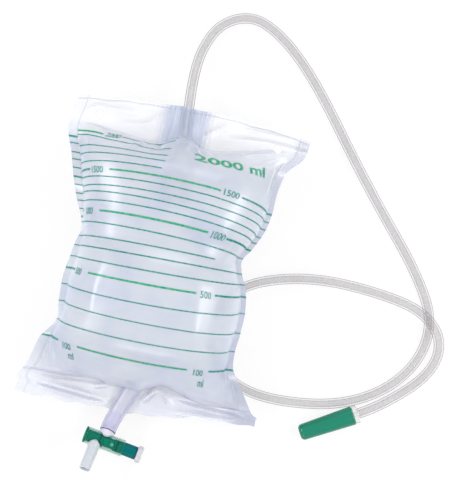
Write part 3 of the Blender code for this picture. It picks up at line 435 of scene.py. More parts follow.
class StageSettings(PropertyGroup):
    """Camera, lamps and floor."""

    azimuth: FloatProperty(
        name="Azimuth", description="Direction of the camera from the bag, from -Y towards +X",
        default=math.radians(11.3), subtype="ANGLE", unit="ROTATION")
    elevation: FloatProperty(
        name="Elevation", description="Height angle of the camera over the table",
        default=math.radians(87.0), subtype="ANGLE", unit="ROTATION")
    distance: FloatProperty(
        name="Distance", description="From the camera to the point that it looks at",
        default=1.5, min=0.2, max=10.0, subtype="DISTANCE", unit="LENGTH")
    focal_length: FloatProperty(
        name="Focal length", description="Focal length on a sensor 36 mm wide, in millimetres",
        default=140.98, min=10.0, max=400.0, subtype="DISTANCE_CAMERA")
    side_power: FloatProperty(
        name="Side lamps", description="Power of each of the two side lamps",
        default=5.0, min=0.0, max=100.0, subtype="POWER", unit="POWER")
    end_power: FloatProperty(
        name="End lamps", description="Power of each of the lamps beyond the top and the tap",
        default=2.4, min=0.0, max=100.0, subtype="POWER", unit="POWER")
    sky: FloatProperty(
        name="Sky", description="Strength of the even light from all around",
        default=0.50, min=0.0, max=4.0)
    white_share: FloatProperty(
        name="White share", description="Share of plain white that the floor shows the camera",
        default=0.85, min=0.0, max=1.0, subtype="FACTOR")


def table_curve(table, column, y):
    """Read a smooth curve through a table's stations, in metres.

    Between two stations it is a cubic whose slope at each is the mean slope around it.
    """
    stations = np.array([row[0] for row in table]) * MM
    values = np.array([row[column] for row in table]) * MM
    slopes = np.gradient(values, stations)
    left = np.clip(np.searchsorted(stations, y) - 1, 0, len(stations) - 2)
    width = stations[left + 1] - stations[left]
    s = np.clip((y - stations[left]) / width, 0.0, 1.0)
    return (
        (2 * s**3 - 3 * s**2 + 1) * values[left]
        + (s**3 - 2 * s**2 + s) * width * slopes[left]
        + (3 * s**2 - 2 * s**3) * values[left + 1]
        + (s**3 - s**2) * width * slopes[left + 1]
    )


def smoothstep(s):
    """0 below 0, 1 above 1, and a smooth rise between."""
    s = np.clip(s, 0.0, 1.0)
    return s * s * (3.0 - 2.0 * s)


def seam_height(y):
    """Height of the weld between the films: the outlet's own straight line in the bottom flange."""
    fall = math.tan(OUTLET_FALL) / math.cos(OUTLET_ANGLE)
    flange = OUTLET_EDGE_Z + (y - BOTTOM_EDGE_Y) * fall
    weld = OUTLET_EDGE_Z + (BOTTOM_WELD_Y - BOTTOM_EDGE_Y) * fall
    bag = table_curve(SEAM_HEIGHT, 1, y) + weld - SEAM_HEIGHT[0][1] * MM
    return np.where(y <= BOTTOM_WELD_Y, flange, bag)


def tube_x(y):
    """The tube's middle in the top flange."""
    return TUBE_TOP_X + (y - TOP_EDGE_Y) * TUBE_LEAN


def channel_x(y):
    """Middle of the half rounds that wrap the outlet below and the tube above."""
    s = smoothstep((y - BOTTOM_WELD_Y) / (TOP_WELD_Y - BOTTOM_WELD_Y))
    outlet = OUTLET_EDGE_X + (np.minimum(y, BOTTOM_WELD_Y) - BOTTOM_EDGE_Y) * math.tan(OUTLET_ANGLE)
    return outlet * (1 - s) + tube_x(np.maximum(y, TOP_WELD_Y)) * s


def channel_radius(y):
    """Inside radius of those half rounds."""
    tube = bpy.context.scene.bag_tube.diameter / 2
    s = smoothstep((y - BOTTOM_WELD_Y) / (TOP_WELD_Y - BOTTOM_WELD_Y))
    return OUTLET_R * (1 - s) + tube * s + CHANNEL_CLEARANCE


def inside_welds(y):
    """Distance from the nearer of the two end welds, positive in the chamber."""
    return np.minimum(y - BOTTOM_WELD_Y, TOP_WELD_Y - y)


def crown(y):
    """Rise of the front film above the weld along its crown.

    A long rounded pillow, lower towards the top flange and dented at the waist.
    """
    middle = 0.5 * (BOTTOM_WELD_Y + TOP_WELD_Y)
    half = 0.5 * (TOP_WELD_Y - BOTTOM_WELD_Y)
    pillow = np.sqrt(np.maximum(0.0, 1.0 - np.abs((y - middle) / half) ** 2.4))
    upper = smoothstep((y - WAIST_Y) / half)
    rise = CROWN_RISE * (1 - upper) + UPPER_CROWN_RISE * upper
    waist = WAIST_DIP * np.exp(-(((y - WAIST_Y) / WAIST_REACH) ** 2))
    return np.maximum(0.0, rise * pillow - waist * smoothstep(inside_welds(y) / END_ROUNDING))


def keel(y):
    """Drop of the back film below the weld: down to the table, less at the waist and the ends."""
    end = np.clip(1.0 - inside_welds(y) / END_ROUNDING, 0.0, 1.0)
    waist = np.clip(1.0 - ((y - WAIST_Y) / WAIST_REACH) ** 2, 0.0, 1.0) ** 2
    full = seam_height(y) - GAP / 2 - FILM - WAIST_LIFT * waist
    return full * np.sqrt(np.maximum(0.0, 1.0 - end**2))


def film_place(p, y, front):
    """Place of the flat film's points (p, y) on the inflated bag, on the film's inside.

    Across the chamber the film follows a quarter of an ellipse from the crown to each weld,
    the back film with a flat strip on the table between its two quarters. In the flanges it
    lies flat, apart from a half round over the tube and the outlet. Near each end weld both films
    are pulled along Y by the weld's own shift, which fades out away from it.
    """
    side = np.sign(p)
    across = np.minimum(np.abs(p) / CORNER, 1.0)
    fin = np.maximum(np.abs(p) - CORNER, 0.0) / FIN_WIDTH
    inside = inside_welds(y)
    grown = smoothstep(inside / END_ROUNDING)
    full = np.where(side < 0, table_curve(OUTLINE, 1, y), table_curve(OUTLINE, 2, y))
    left_turn = np.radians(table_curve(FIN_TURN_LEFT, 1, y) / MM)
    turn = np.where(side < 0, left_turn, FIN_TURN_RIGHT) * grown
    fin_reach = FIN_WIDTH * np.cos(turn)
    if front:
        angle = across * math.pi / 2
        reach, rise = np.sin(angle), crown(y)
    else:
        angle = np.clip((across - PATCH_SHARE) / (1 - PATCH_SHARE), 0.0, 1.0) * math.pi / 2
        strip = np.minimum(across / PATCH_SHARE, 1.0) * PATCH_WIDTH_SHARE
        reach, rise = strip + (1 - PATCH_WIDTH_SHARE) * np.sin(angle), keel(y)
    height = np.cos(angle)
    half = full - fin_reach
    flat_x = CORNER * across + (half - CORNER) * across**3
    x = side * (flat_x * (1 - grown) + half * reach * grown + fin * fin_reach)

    shift = table_curve(CROWN_SHIFT, 1, y) * height if front else 0.0
    top = smoothstep((y - TOP_WELD_Y) / (TOP_EDGE_Y - TOP_WELD_Y))
    low = smoothstep((BOTTOM_WELD_Y - y) / (BOTTOM_WELD_Y - BOTTOM_EDGE_Y))
    pulled = table_curve(WELD_SHIFT, 1, x) * (1 - top)
    pulled = pulled * smoothstep(1.0 - np.abs(y - TOP_WELD_Y) / WELD_SHIFT_REACH)
    fade = smoothstep(1.0 - (y - BOTTOM_WELD_Y) / LOW_WELD_SHIFT_REACH) * (1 - low)
    pulled = pulled + table_curve(LOW_WELD_SHIFT, 1, x) * fade
    turns = 2 * math.pi * x / EDGE_WAVE_PERIOD
    edge = EDGE_WAVE * (np.sin(turns) + np.sin(1.7 * turns + 1.0)) * (low**3 - 0.4 * top**3)
    wave = BOTTOM_EDGE_LIFT * smoothstep((x - OUTLET_EDGE_X) / (FLAT_WIDTH / 3) - 0.2) * low
    along = y + shift + pulled - TOP_EDGE_ARCH * (x / (FLAT_WIDTH / 2)) ** 2 * top + wave + edge

    slant = np.where(y < 0, math.cos(OUTLET_ANGLE), 1.0)
    beside = (p - channel_x(np.where(y < 0, along, y))) * slant
    channel = np.sqrt(np.maximum(channel_radius(y) ** 2 - beside**2, 0.0))
    channel = channel * (1 - smoothstep(inside / CHANNEL_FADE))
    layer = GAP / 2 * (height + (1 - height) / np.cos(turn))
    lift = np.maximum(layer + rise * height, channel)
    seam = seam_height(y) - fin * fin_reach * np.tan(turn)
    return np.stack([x, along, seam + lift if front else seam - lift], axis=-1)


def folds(p, y, table):
    """Sum of soft ridges over the flat film.

    Each is a bell curve across a straight stretch, times a smooth fade at its two ends.
    """
    total = np.zeros(np.shape(p))
    for x0, y0, x1, y1, half_width, height in table:
        way_x, way_y = (x1 - x0) * MM, (y1 - y0) * MM
        length = math.hypot(way_x, way_y)
        s = ((p - x0 * MM) * way_x + (y - y0 * MM) * way_y) / length**2
        off = ((p - x0 * MM) * way_y - (y - y0 * MM) * way_x) / length
        ends = smoothstep(s / 0.45) * smoothstep((1.0 - s) / 0.45)
        total += height * MM * np.exp(-((off / (half_width * MM)) ** 2)) * ends
    return total


def flange_relief(p, y, x, along):
    """Height that both films share in the flanges: folds, and fine ribs beside the tube.

    The ribs are a sine across the film, strongest near the tube and gone at their reach. x and
    along are the places seen from above.
    """
    beside = np.abs(p - channel_x(np.where(y < 0, along, y)))
    ribs = bpy.context.scene.bag_film.rib_height * np.sin(2 * math.pi * p / RIB_PERIOD)
    ribs = ribs * smoothstep((beside - RIB_FROM_TUBE) / RIB_FROM_TUBE)
    ribs = ribs * smoothstep(1.0 - (beside - RIB_FROM_TUBE) / RIB_REACH)
    ribs = ribs * smoothstep((y - TOP_WELD_Y + 4 * MM) / (8 * MM))
    clear = smoothstep((beside - 1.15 * OUTLET_R) / OUTLET_R)
    outside = smoothstep(1.0 - inside_welds(y) / (8 * MM))
    return (folds(x, along, FLANGE_FOLDS) * clear + ribs) * outside


def pillow_relief(p, y):
    """Height of the front film's own folds, which fade out at the welds."""
    chamber = smoothstep(inside_welds(y) / (4 * MM)) * smoothstep((CORNER - np.abs(p)) / (5 * MM))
    return folds(p, y, PILLOW_FOLDS) * chamber


def on_film(p, y, front, height=0.0):
    """Place at a height over the inside of a film, with its folds.

    The way out is the cross product of the film's slopes along p and y.
    """
    step = 0.3 * MM
    along_p = film_place(p + step, y, front) - film_place(p - step, y, front)
    along_y = film_place(p, y + step, front) - film_place(p, y - step, front)
    out = np.cross(along_p, along_y)
    out = out / np.linalg.norm(out, axis=-1, keepdims=True)
    here = film_place(p, y, front)
    shared = flange_relief(p, y, here[..., 0], here[..., 1])
    if front:
        shared = shared + pillow_relief(p, y)
    else:
        out, shared = -out, -shared
    return here + out * (shared + height)[..., None]


def flat_place(x, y):
    """The front film's flat point that lies at (x, y) seen from above, found in small steps."""
    p, q = np.array(x, dtype=float), np.array(y, dtype=float)
    for _ in range(60):
        here = film_place(p, q, True)
        p = np.clip(p + 0.6 * (x - here[..., 0]), -CORNER, CORNER)
        q = q + 0.6 * (y - here[..., 1])
    return p, q


def grid_faces(rows, columns, wrap=False):
    """Four corners of each cell of a grid, numbered row by row, round the columns if wrapped."""
    across = columns if wrap else columns - 1
    row, column = np.meshgrid(np.arange(rows - 1), np.arange(across), indexing="ij")
    beside = (column + 1) % columns
    corners = [row * columns + column, row * columns + beside]
    corners += [(row + 1) * columns + beside, (row + 1) * columns + column]
    return np.stack(corners, axis=-1).reshape(-1, 4)


def shell(inner, outer, faces):
    """Close a sheet and its offset copy into one solid.

    Each edge that belongs to one face only gets a wall from the one skin to the other.
    """
    count = len(inner)
    edges = np.concatenate([faces[:, [i, (i + 1) % 4]] for i in range(4)])
    ordered = np.sort(edges, axis=1)
    _, first, times = np.unique(ordered, axis=0, return_index=True, return_counts=True)
    rim = edges[first[times == 1]]
    walls = np.stack([rim[:, 0], rim[:, 1], rim[:, 1] + count, rim[:, 0] + count], axis=1)
    closed = np.concatenate([faces + count, faces[:, ::-1], walls])
    return np.concatenate([inner, outer]), closed


def joined(parts):
    """Several (points, faces) pairs as one."""
    starts = np.cumsum([0] + [len(points) for points, _ in parts[:-1]])
    points = np.concatenate([points for points, _ in parts])
    return points, np.concatenate([faces + start for (_, faces), start in zip(parts, starts)])


def merge_and_orient(mesh):
    """Merge the points that coincide, and turn all faces outwards."""
    shape = bmesh.new()
    shape.from_mesh(mesh)
    bmesh.ops.remove_doubles(shape, verts=shape.verts, dist=MERGE_DISTANCE)
    bmesh.ops.recalc_face_normals(shape, faces=shape.faces)
    shape.to_mesh(mesh)
    shape.free()


def make_piece(name, points, faces, look, body, node=None, uv=None, tidy=True, sharp=40.0):
    """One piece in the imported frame, on its body and in place of its solid."""
    mesh = bpy.data.meshes.new(name)
    placed = np.asarray(points) + np.array([0.0, MIDDLE_Y, 0.0])
    mesh.from_pydata(placed.tolist(), [], np.asarray(faces).tolist())
    if uv is not None:
        layer = mesh.uv_layers.new(name="UVMap")
        corners = np.empty(len(mesh.loops), dtype=np.int32)
        mesh.loops.foreach_get("vertex_index", corners)
        layer.uv.foreach_set("vector", np.asarray(uv)[corners].astype(np.float32).ravel())
    if tidy:
        merge_and_orient(mesh)
    mesh.shade_smooth()
    mesh.set_sharp_from_angle(angle=math.radians(sharp))
    mesh.materials.append(look)
    piece = bpy.data.objects.new(name, mesh)
    bpy.context.collection.objects.link(piece)
    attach(piece, body)
    if node is not None:
        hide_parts(node)
    return piece


def axes(place, x_axis, z_axis):
    """Origin and the three directions of a right-handed frame."""
    x_axis = np.array(x_axis, dtype=float)
    x_axis /= np.linalg.norm(x_axis)
    z_axis = np.array(z_axis, dtype=float)
    z_axis = z_axis - x_axis * z_axis.dot(x_axis)
    z_axis /= np.linalg.norm(z_axis)
    return np.array(place, dtype=float), x_axis, np.cross(z_axis, x_axis), z_axis


def softened(profile, radius, steps=4):
    """Round the corners of a closed profile.

    Each corner off the axis becomes a short curve between two points on its two sides, weighted
    by the squares of the shares, as a parabola is.
    """
    points = np.array(profile, dtype=float)
    result = []
    neighbours = np.roll(points, 1, axis=0), points, np.roll(points, -1, axis=0)
    for before, here, after in zip(*neighbours):
        if here[1] == 0.0:
            result.append(here[None])
            continue
        back, ahead = before - here, after - here
        start = here + back * min(0.45, radius / np.linalg.norm(back))
        end = here + ahead * min(0.45, radius / np.linalg.norm(ahead))
        t = np.linspace(0.0, 1.0, steps)[:, None]
        result.append((1 - t) ** 2 * start + 2 * t * (1 - t) * here + t**2 * end)
    return np.concatenate(result)


def lathe(profile, place, along="X", at=(0.0, 0.0, 0.0), sides=72):
    """Turn a closed profile of (distance along the axis, radius) about a frame's X or Y axis.

    A point is the place along the axis plus the radius times (sine, cosine) of the angle on the
    two other axes.
    """
    origin, x_axis, y_axis, z_axis = place
    centre = origin + at[0] * x_axis + at[1] * y_axis + at[2] * z_axis
    axis, side = (x_axis, y_axis) if along == "X" else (y_axis, x_axis)
    profile = np.asarray(profile, dtype=float)
    angles = 2 * math.pi * np.arange(sides) / sides
    turn = np.sin(angles)[:, None] * side - np.cos(angles)[:, None] * z_axis
    points = centre + profile[:, 0, None, None] * axis + profile[:, 1, None, None] * turn
    points = np.concatenate([points, points[:1]])
    return points.reshape(-1, 3), grid_faces(len(profile) + 1, sides, wrap=True)


def turned(name, profile, radius, place, look, body, node, steps=4, sides=96):
    """A piece turned about its frame's X axis, with the profile's corners softened."""
    points, faces = lathe(softened(profile, radius, steps), place, sides=sides)
    return make_piece(name, points, faces, look, body, node)


def tube_frame(path):
    """Side and up directions along a path that is nowhere upright.

    The side is level, square to the path, and up is square to both.
    """
    way = np.gradient(path, axis=0)
    way /= np.linalg.norm(way, axis=1, keepdims=True)
    side = np.cross(way, UP)
    side /= np.linalg.norm(side, axis=1, keepdims=True)
    return side, np.cross(side, way)


def pipe(path, side, up, outside, inside, sides=48):
    """A pipe along a path, its walls closed at both ends.

    outside and inside are (half width, half height) pairs of oval sections, one for each point
    of the path or one for all. The skin runs up the outside and back down the inside.
    """
    angles = 2 * math.pi * np.arange(sides) / sides
    skins = []
    for half_width, half_height in (outside, inside):
        wide = np.broadcast_to(half_width, len(path))[:, None, None] * np.sin(angles)[:, None]
        high = np.broadcast_to(half_height, len(path))[:, None, None] * np.cos(angles)[:, None]
        skins.append(path[:, None] + wide * side[:, None] - high * up[:, None])
    points = np.concatenate([skins[0], skins[1][::-1], skins[0][:1]])
    return points.reshape(-1, 3), grid_faces(len(points), sides, wrap=True)


def smooth_route(points, step):
    """Points about one step apart along a smooth curve through the route's own points.

    The curve is a natural cubic spline in each coordinate over the chord length.
    """
    points = np.array(points)
    chord = np.concatenate([[0.0], np.cumsum(np.linalg.norm(np.diff(points, axis=0), axis=1))])
    gaps = np.diff(chord)
    count = len(points)
    matrix = np.eye(count)
    right = np.zeros((count, 3))
    for i in range(1, count - 1):
        matrix[i, i - 1 : i + 2] = gaps[i - 1], 2 * (gaps[i - 1] + gaps[i]), gaps[i]
        slopes = (points[i + 1] - points[i]) / gaps[i] - (points[i] - points[i - 1]) / gaps[i - 1]
        right[i] = 6 * slopes
    bends = np.linalg.solve(matrix, right)
    places = np.linspace(0.0, chord[-1], int(round(chord[-1] / step)) + 1)
    left = np.clip(np.searchsorted(chord, places) - 1, 0, count - 2)
    gap = gaps[left][:, None]
    after = (places - chord[left])[:, None]
    before = gap - after
    return (
        (bends[left] * before**3 + bends[left + 1] * after**3) / (6 * gap)
        + (points[left] / gap - bends[left] * gap / 6) * before
        + (points[left + 1] / gap - bends[left + 1] * gap / 6) * after
    )


def tap_axes():
    """The tap's frame: X along the barrel, Y towards the outlet tube, Z square to both."""
    u = np.array([math.cos(TAP_TURN), math.sin(TAP_TURN), 0.0])
    level = np.array([math.sin(TAP_TURN), -math.cos(TAP_TURN), 0.0])
    w = level * math.cos(TAP_PITCH) + UP * math.sin(TAP_PITCH)
    return axes(TAP_LEFT, u, np.cross(u, -w))


def outlet_axes():
    """The outlet's frame at the flange's edge: X out of the bag and down to the table."""
    level, turn = math.cos(OUTLET_FALL), OUTLET_ANGLE
    way = (-math.sin(turn) * level, -math.cos(turn) * level, -math.sin(OUTLET_FALL))
    return axes((OUTLET_EDGE_X, BOTTOM_EDGE_Y, OUTLET_EDGE_Z), way, UP)


def cap_axes():
    """The cap's frame at its open end: X towards the tube, tilted by the cap's taper."""
    tilt = math.asin((CAP_OPEN_R - CAP_CLOSED_R) / CAP_LENGTH)
    level = math.cos(tilt)
    way = (math.cos(CAP_TURN) * level, math.sin(CAP_TURN) * level, math.sin(tilt))
    return axes(CAP_OPEN, way, UP)


def new_group(name, inputs, outputs):
    """An empty shader group with named sockets: (name, socket type, default)."""
    group = bpy.data.node_groups.new(name, "ShaderNodeTree")
    for label, kind, value in inputs:
        socket = group.interface.new_socket(name=label, in_out="INPUT", socket_type=kind)
        if value is not None:
            socket.default_value = value
    for label, kind in outputs:
        group.interface.new_socket(name=label, in_out="OUTPUT", socket_type=kind)
    start = group.nodes.new("NodeGroupInput")
    end = group.nodes.new("NodeGroupOutput")
    start.location.x, end.location.x = -900, 600
    return group, start.outputs, end.inputs


def maths(tree, operation, *values, clamp=False):
    """A Math node whose inputs are sockets or plain numbers. Gives its output."""
    node = tree.nodes.new("ShaderNodeMath")
    node.operation = operation
    node.use_clamp = clamp
    for socket, value in zip(node.inputs, values):
        if isinstance(value, (int, float)):
            socket.default_value = value
        else:
            tree.links.new(value, socket)
    return node.outputs[0]


def map_range(tree, value, low, high, to_low, to_high):
    """A smooth map from one span of values to another."""
    node = tree.nodes.new("ShaderNodeMapRange")
    node.interpolation_type = "SMOOTHSTEP"
    tree.links.new(value, node.inputs["Value"])
    ends = {"From Min": low, "From Max": high, "To Min": to_low, "To Max": to_high}
    for name, number in ends.items():
        if isinstance(number, (int, float)):
            node.inputs[name].default_value = number
        else:
            tree.links.new(number, node.inputs[name])
    return node.outputs["Result"]


def mix_colours(tree, share, one, other):
    """A Mix node for two colours."""
    node = tree.nodes.new("ShaderNodeMix")
    node.data_type = "RGBA"
    sockets = node.inputs[0], node.inputs[6], node.inputs[7]
    for socket, value in zip(sockets, (share, one, other)):
        if isinstance(value, (int, float)):
            socket.default_value = value
        elif isinstance(value, tuple):
            socket.default_value = (*value, 1.0)
        else:
            tree.links.new(value, socket)
    return node.outputs[2]


def noise(tree, scale, detail=2.0):
    """A Noise Texture on the piece's own coordinates."""
    node = tree.nodes.new("ShaderNodeTexNoise")
    node.inputs["Scale"].default_value = scale
    node.inputs["Detail"].default_value = detail
    tree.links.new(tree.nodes.new("ShaderNodeTexCoord").outputs["Object"], node.inputs["Vector"])
    return node


def moulded_grain():
    """Group: fine grain and slow waviness of moulded plastic, as a roughness and a normal."""
    name = "Moulded grain"
    if name in bpy.data.node_groups:
        return bpy.data.node_groups[name]
    group, given, result = new_group(
        name,
        [("Roughness", "NodeSocketFloat", 0.3), ("Spread", "NodeSocketFloat", 0.08),
         ("Fineness", "NodeSocketFloat", 900.0), ("Depth", "NodeSocketFloat", 0.05)],
        [("Roughness", "NodeSocketFloat"), ("Normal", "NodeSocketVector")],
    )
    fine, slow = noise(group, 900.0, 3.0), noise(group, 120.0)
    group.links.new(given["Fineness"], fine.inputs["Scale"])
    off = maths(group, "SUBTRACT", slow.outputs["Fac"], 0.5)
    swing = maths(group, "MULTIPLY", off, given["Spread"])
    rough = maths(group, "ADD", given["Roughness"], swing, clamp=True)
    group.links.new(rough, result["Roughness"])
    both = maths(group, "MULTIPLY_ADD", fine.outputs["Fac"], 0.3, slow.outputs["Fac"])
    bump = group.nodes.new("ShaderNodeBump")
    bump.inputs["Distance"].default_value = 0.2 * MM
    group.links.new(both, bump.inputs["Height"])
    group.links.new(given["Depth"], bump.inputs["Strength"])
    group.links.new(bump.outputs["Normal"], result["Normal"])
    return group


def uv_band():
    """Group: mask of a soft line across the piece's UV map, along V or along U."""
    name = "Band on the map"
    if name in bpy.data.node_groups:
        return bpy.data.node_groups[name]
    group, given, result = new_group(
        name,
        [("Along U", "NodeSocketFloat", 0.0), ("Place", "NodeSocketFloat", 0.5),
         ("Half width", "NodeSocketFloat", 0.01)],
        [("Mask", "NodeSocketFloat")],
    )
    split = group.nodes.new("ShaderNodeSeparateXYZ")
    group.links.new(group.nodes.new("ShaderNodeUVMap").outputs["UV"], split.inputs[0])
    across = maths(group, "SUBTRACT", split.outputs["X"], split.outputs["Y"])
    value = maths(group, "MULTIPLY_ADD", across, given["Along U"], split.outputs["Y"])
    off = maths(group, "ABSOLUTE", maths(group, "SUBTRACT", value, given["Place"]))
    near = maths(group, "DIVIDE", off, given["Half width"])
    group.links.new(map_range(group, near, 0.4, 1.0, 1.0, 0.0), result["Mask"])
    return group


def add_group(tree, group, **values):
    """Place a group in a material with its own values. Gives its outputs."""
    node = tree.nodes.new("ShaderNodeGroup")
    node.node_tree = group
    for name, value in values.items():
        node.inputs[name.replace("_", " ")].default_value = value
    return node.outputs


def band(tree, place, half_width, along_u=0.0):
    """Mask of a soft line at a share of the map's length, or with along_u 1 of its width."""
    return add_group(
        tree, uv_band(), Along_U=along_u, Place=place, Half_width=half_width)["Mask"]


def plastic(
        name, colour, roughness, depth=0.05, spread=0.1, gloss=0.5, coat=0.0, coat_roughness=0.03):
    """A moulded plastic: Principled BSDF with the grain group on roughness and normal.

    gloss is the specular level, and coat the weight of a clear coat over it.
    """
    look = bpy.data.materials.new(name)
    look.use_nodes = True
    tree = look.node_tree
    shader = tree.nodes["Principled BSDF"]
    shader.inputs["Base Color"].default_value = (*colour, 1.0)
    shader.inputs["IOR"].default_value = 1.5
    shader.inputs["Specular IOR Level"].default_value = gloss
    shader.inputs["Coat Weight"].default_value = coat
    shader.inputs["Coat Roughness"].default_value = coat_roughness
    grain = add_group(tree, moulded_grain(), Roughness=roughness, Depth=depth, Spread=spread)
    tree.links.new(grain["Roughness"], shader.inputs["Roughness"])
    tree.links.new(grain["Normal"], shader.inputs["Normal"])
    return look, tree, shader


def facing(tree, low, high, to_low, to_high):
    """Value that changes from where a surface is seen squarely to its edge."""
    weight = tree.nodes.new("ShaderNodeLayerWeight")
    weight.inputs["Blend"].default_value = 0.5
    return map_range(tree, weight.outputs["Facing"], low, high, to_low, to_high)


def film_look(name, opacity):
    """Milky clear film: more closed and darker where it is steep, with pressed lines and haze.

    The masks are soft lines across the flat film's map, where the film is welded, pressed or
    folded, and how far it is seen from the side. Each mixes in its own tint. The tints beside the
    tube, at the bottom flange's right end, on the right fin and on the bottom flange's slopes are
    painted shade, and the darkening of steep film is partly painted shade.
    """
    settings = bpy.context.scene.bag_film
    colour = tuple(settings.colour)
    look, tree, shader = plastic(
        name, colour, settings.gloss, depth=0.12, spread=0.2, gloss=0.35, coat=1.0,
        coat_roughness=0.23)

    def times(value, factor):
        return maths(tree, "MULTIPLY", value, factor)

    length = TOP_EDGE_Y - BOTTOM_EDGE_Y
    lines = band(tree, (PRESSED_LINE_Y - BOTTOM_EDGE_Y) / length, 0.55 * MM / length)
    for side in (-1, 1):
        weld = band(tree, 0.5 + side * CORNER / FLAT_WIDTH, 0.8 * MM / FLAT_WIDTH, 1.0)
        lines = maths(tree, "ADD", lines, times(weld, 0.5), clamp=True)
    flange = band(tree, 1.0, 1.8 * (TOP_EDGE_Y - TOP_WELD_Y) / length)
    low_flange = band(tree, 0.0, 1.7 * (BOTTOM_WELD_Y - BOTTOM_EDGE_Y) / length)
    welded = maths(tree, "ADD", flange, low_flange, clamp=True)
    beside = band(tree, 0.5 + TUBE_TOP_X / FLAT_WIDTH, 26.0 * MM / FLAT_WIDTH, 1.0)
    shadow = times(beside, flange)
    # painted shade at the right end of the bottom flange
    end = times(band(tree, 1.0, 0.16, 1.0), low_flange)
    masks = {
        "welded flanges": maths(tree, "MULTIPLY_ADD", low_flange, -0.2, times(welded, 0.8)),
        # painted shade beside the tube
        "beside the tube": shadow,
        # painted shade at the right end of the bottom flange
        "painted shade at the right end of the bottom flange": end,
        # painted shade on the right fin
        "right fin": band(tree, 1.0, 1.7 * FIN_WIDTH / FLAT_WIDTH, 1.0),
        # painted shade on the slopes of the bottom flange
        "painted shade on the slopes of the bottom flange": times(facing(tree, 0.03, 0.40, 0.0, 0.5), low_flange),
        # darker where the film is seen edge-on: partly the film's own denser look, partly painted
        # shade
        "steep film, partly painted shade": facing(tree, 0.35, 0.95, 0.0, 0.2),
        "pressed lines": lines,
    }
    cloud = map_range(tree, noise(tree, 22.0).outputs["Fac"], 0.38, 0.66, 0.0, 1.0)
    hazy = tuple(c * share for c, share in zip(colour, HAZE_SHARE))
    tinted = mix_colours(tree, cloud, colour, hazy)
    for place, (strength, tint) in FILM_TINTS.items():
        tinted = mix_colours(tree, times(masks[place], strength), tinted, tint)
    tree.links.new(tinted, shader.inputs["Base Color"])

    # The film is also more closed where shade is painted beside the tube and at the bottom flange's
    # right end.
    closed = maths(tree, "ADD", times(shadow, 0.9), end)
    closed = maths(tree, "ADD", closed, times(low_flange, 0.5), clamp=True)
    open_share = maths(tree, "SUBTRACT", welded, closed)
    least = maths(tree, "MULTIPLY_ADD", open_share, -settings.flange_opening, opacity)
    alpha = maths(tree, "ADD", facing(tree, 0.2, 0.9, 0.0, 0.4), least)
    alpha = maths(tree, "ADD", alpha, times(lines, 0.25), clamp=True)
    tree.links.new(alpha, shader.inputs["Alpha"])
    return look


def clear_look(
        name, colour, edge_colour, middle, edge, low=0.35, high=0.9, roughness=0.12, gloss=0.7):
    """Clear plastic: nearly open where seen squarely, closed and darker along its edges.

    Its alpha goes from middle to edge, and its colour to the edge's, as the Layer Weight's
    facing goes from low to high.
    """
    look, tree, shader = plastic(name, colour, roughness, depth=0.03, spread=0.05, gloss=gloss)
    share = facing(tree, low, high, 0.0, 1.0)
    tree.links.new(mix_colours(tree, share, colour, edge_colour), shader.inputs["Base Color"])
    alpha = maths(tree, "MULTIPLY_ADD", share, edge - middle, middle)
    tree.links.new(alpha, shader.inputs["Alpha"])
    return look


def ink_look(name, colour):
    """Printed ink: a little thinner in places, so the film shows through."""
    look, tree, shader = plastic(name, colour, 0.35, depth=0.02, gloss=0.25)
    share = map_range(tree, noise(tree, 400.0).outputs["Fac"], 0.3, 0.7, 0.0, 0.18)
    pale = tuple(0.5 + 0.5 * c for c in colour)
    tree.links.new(mix_colours(tree, share, colour, pale), shader.inputs["Base Color"])
    return look


def add_lamp(name, place, target, size_x, size_y, power, colour):
    """A soft rectangular lamp whose long side lies along Y and that shines at a target."""
    lamp = bpy.data.lights.new(name, "AREA")
    lamp.shape = "RECTANGLE"
    lamp.size, lamp.size_y = size_x, size_y
    lamp.energy = power
    lamp.color = colour
    obj = bpy.data.objects.new(name, lamp)
    bpy.context.collection.objects.link(obj)
    obj.matrix_world = looking(place, target, (0.0, 1.0, 0.0))
    return obj


def looking(place, target, up):
    """Matrix of a lamp or camera at a place, with its -Z towards the target."""
    back = (Vector(place) - Vector(target)).normalized()
    right = Vector(up).cross(back).normalized()
    turn = Matrix((right, back.cross(right), back)).transposed().to_4x4()
    return Matrix.Translation(place) @ turn


def seen_directly(tree):
    """1 for rays that show a background: from the camera, from gloss and through glass."""
    rays = tree.nodes.new("ShaderNodeLightPath")
    both = maths(tree, "ADD", rays.outputs["Is Camera Ray"], rays.outputs["Is Glossy Ray"])
    return maths(tree, "ADD", both, rays.outputs["Is Transmission Ray"], clamp=True)


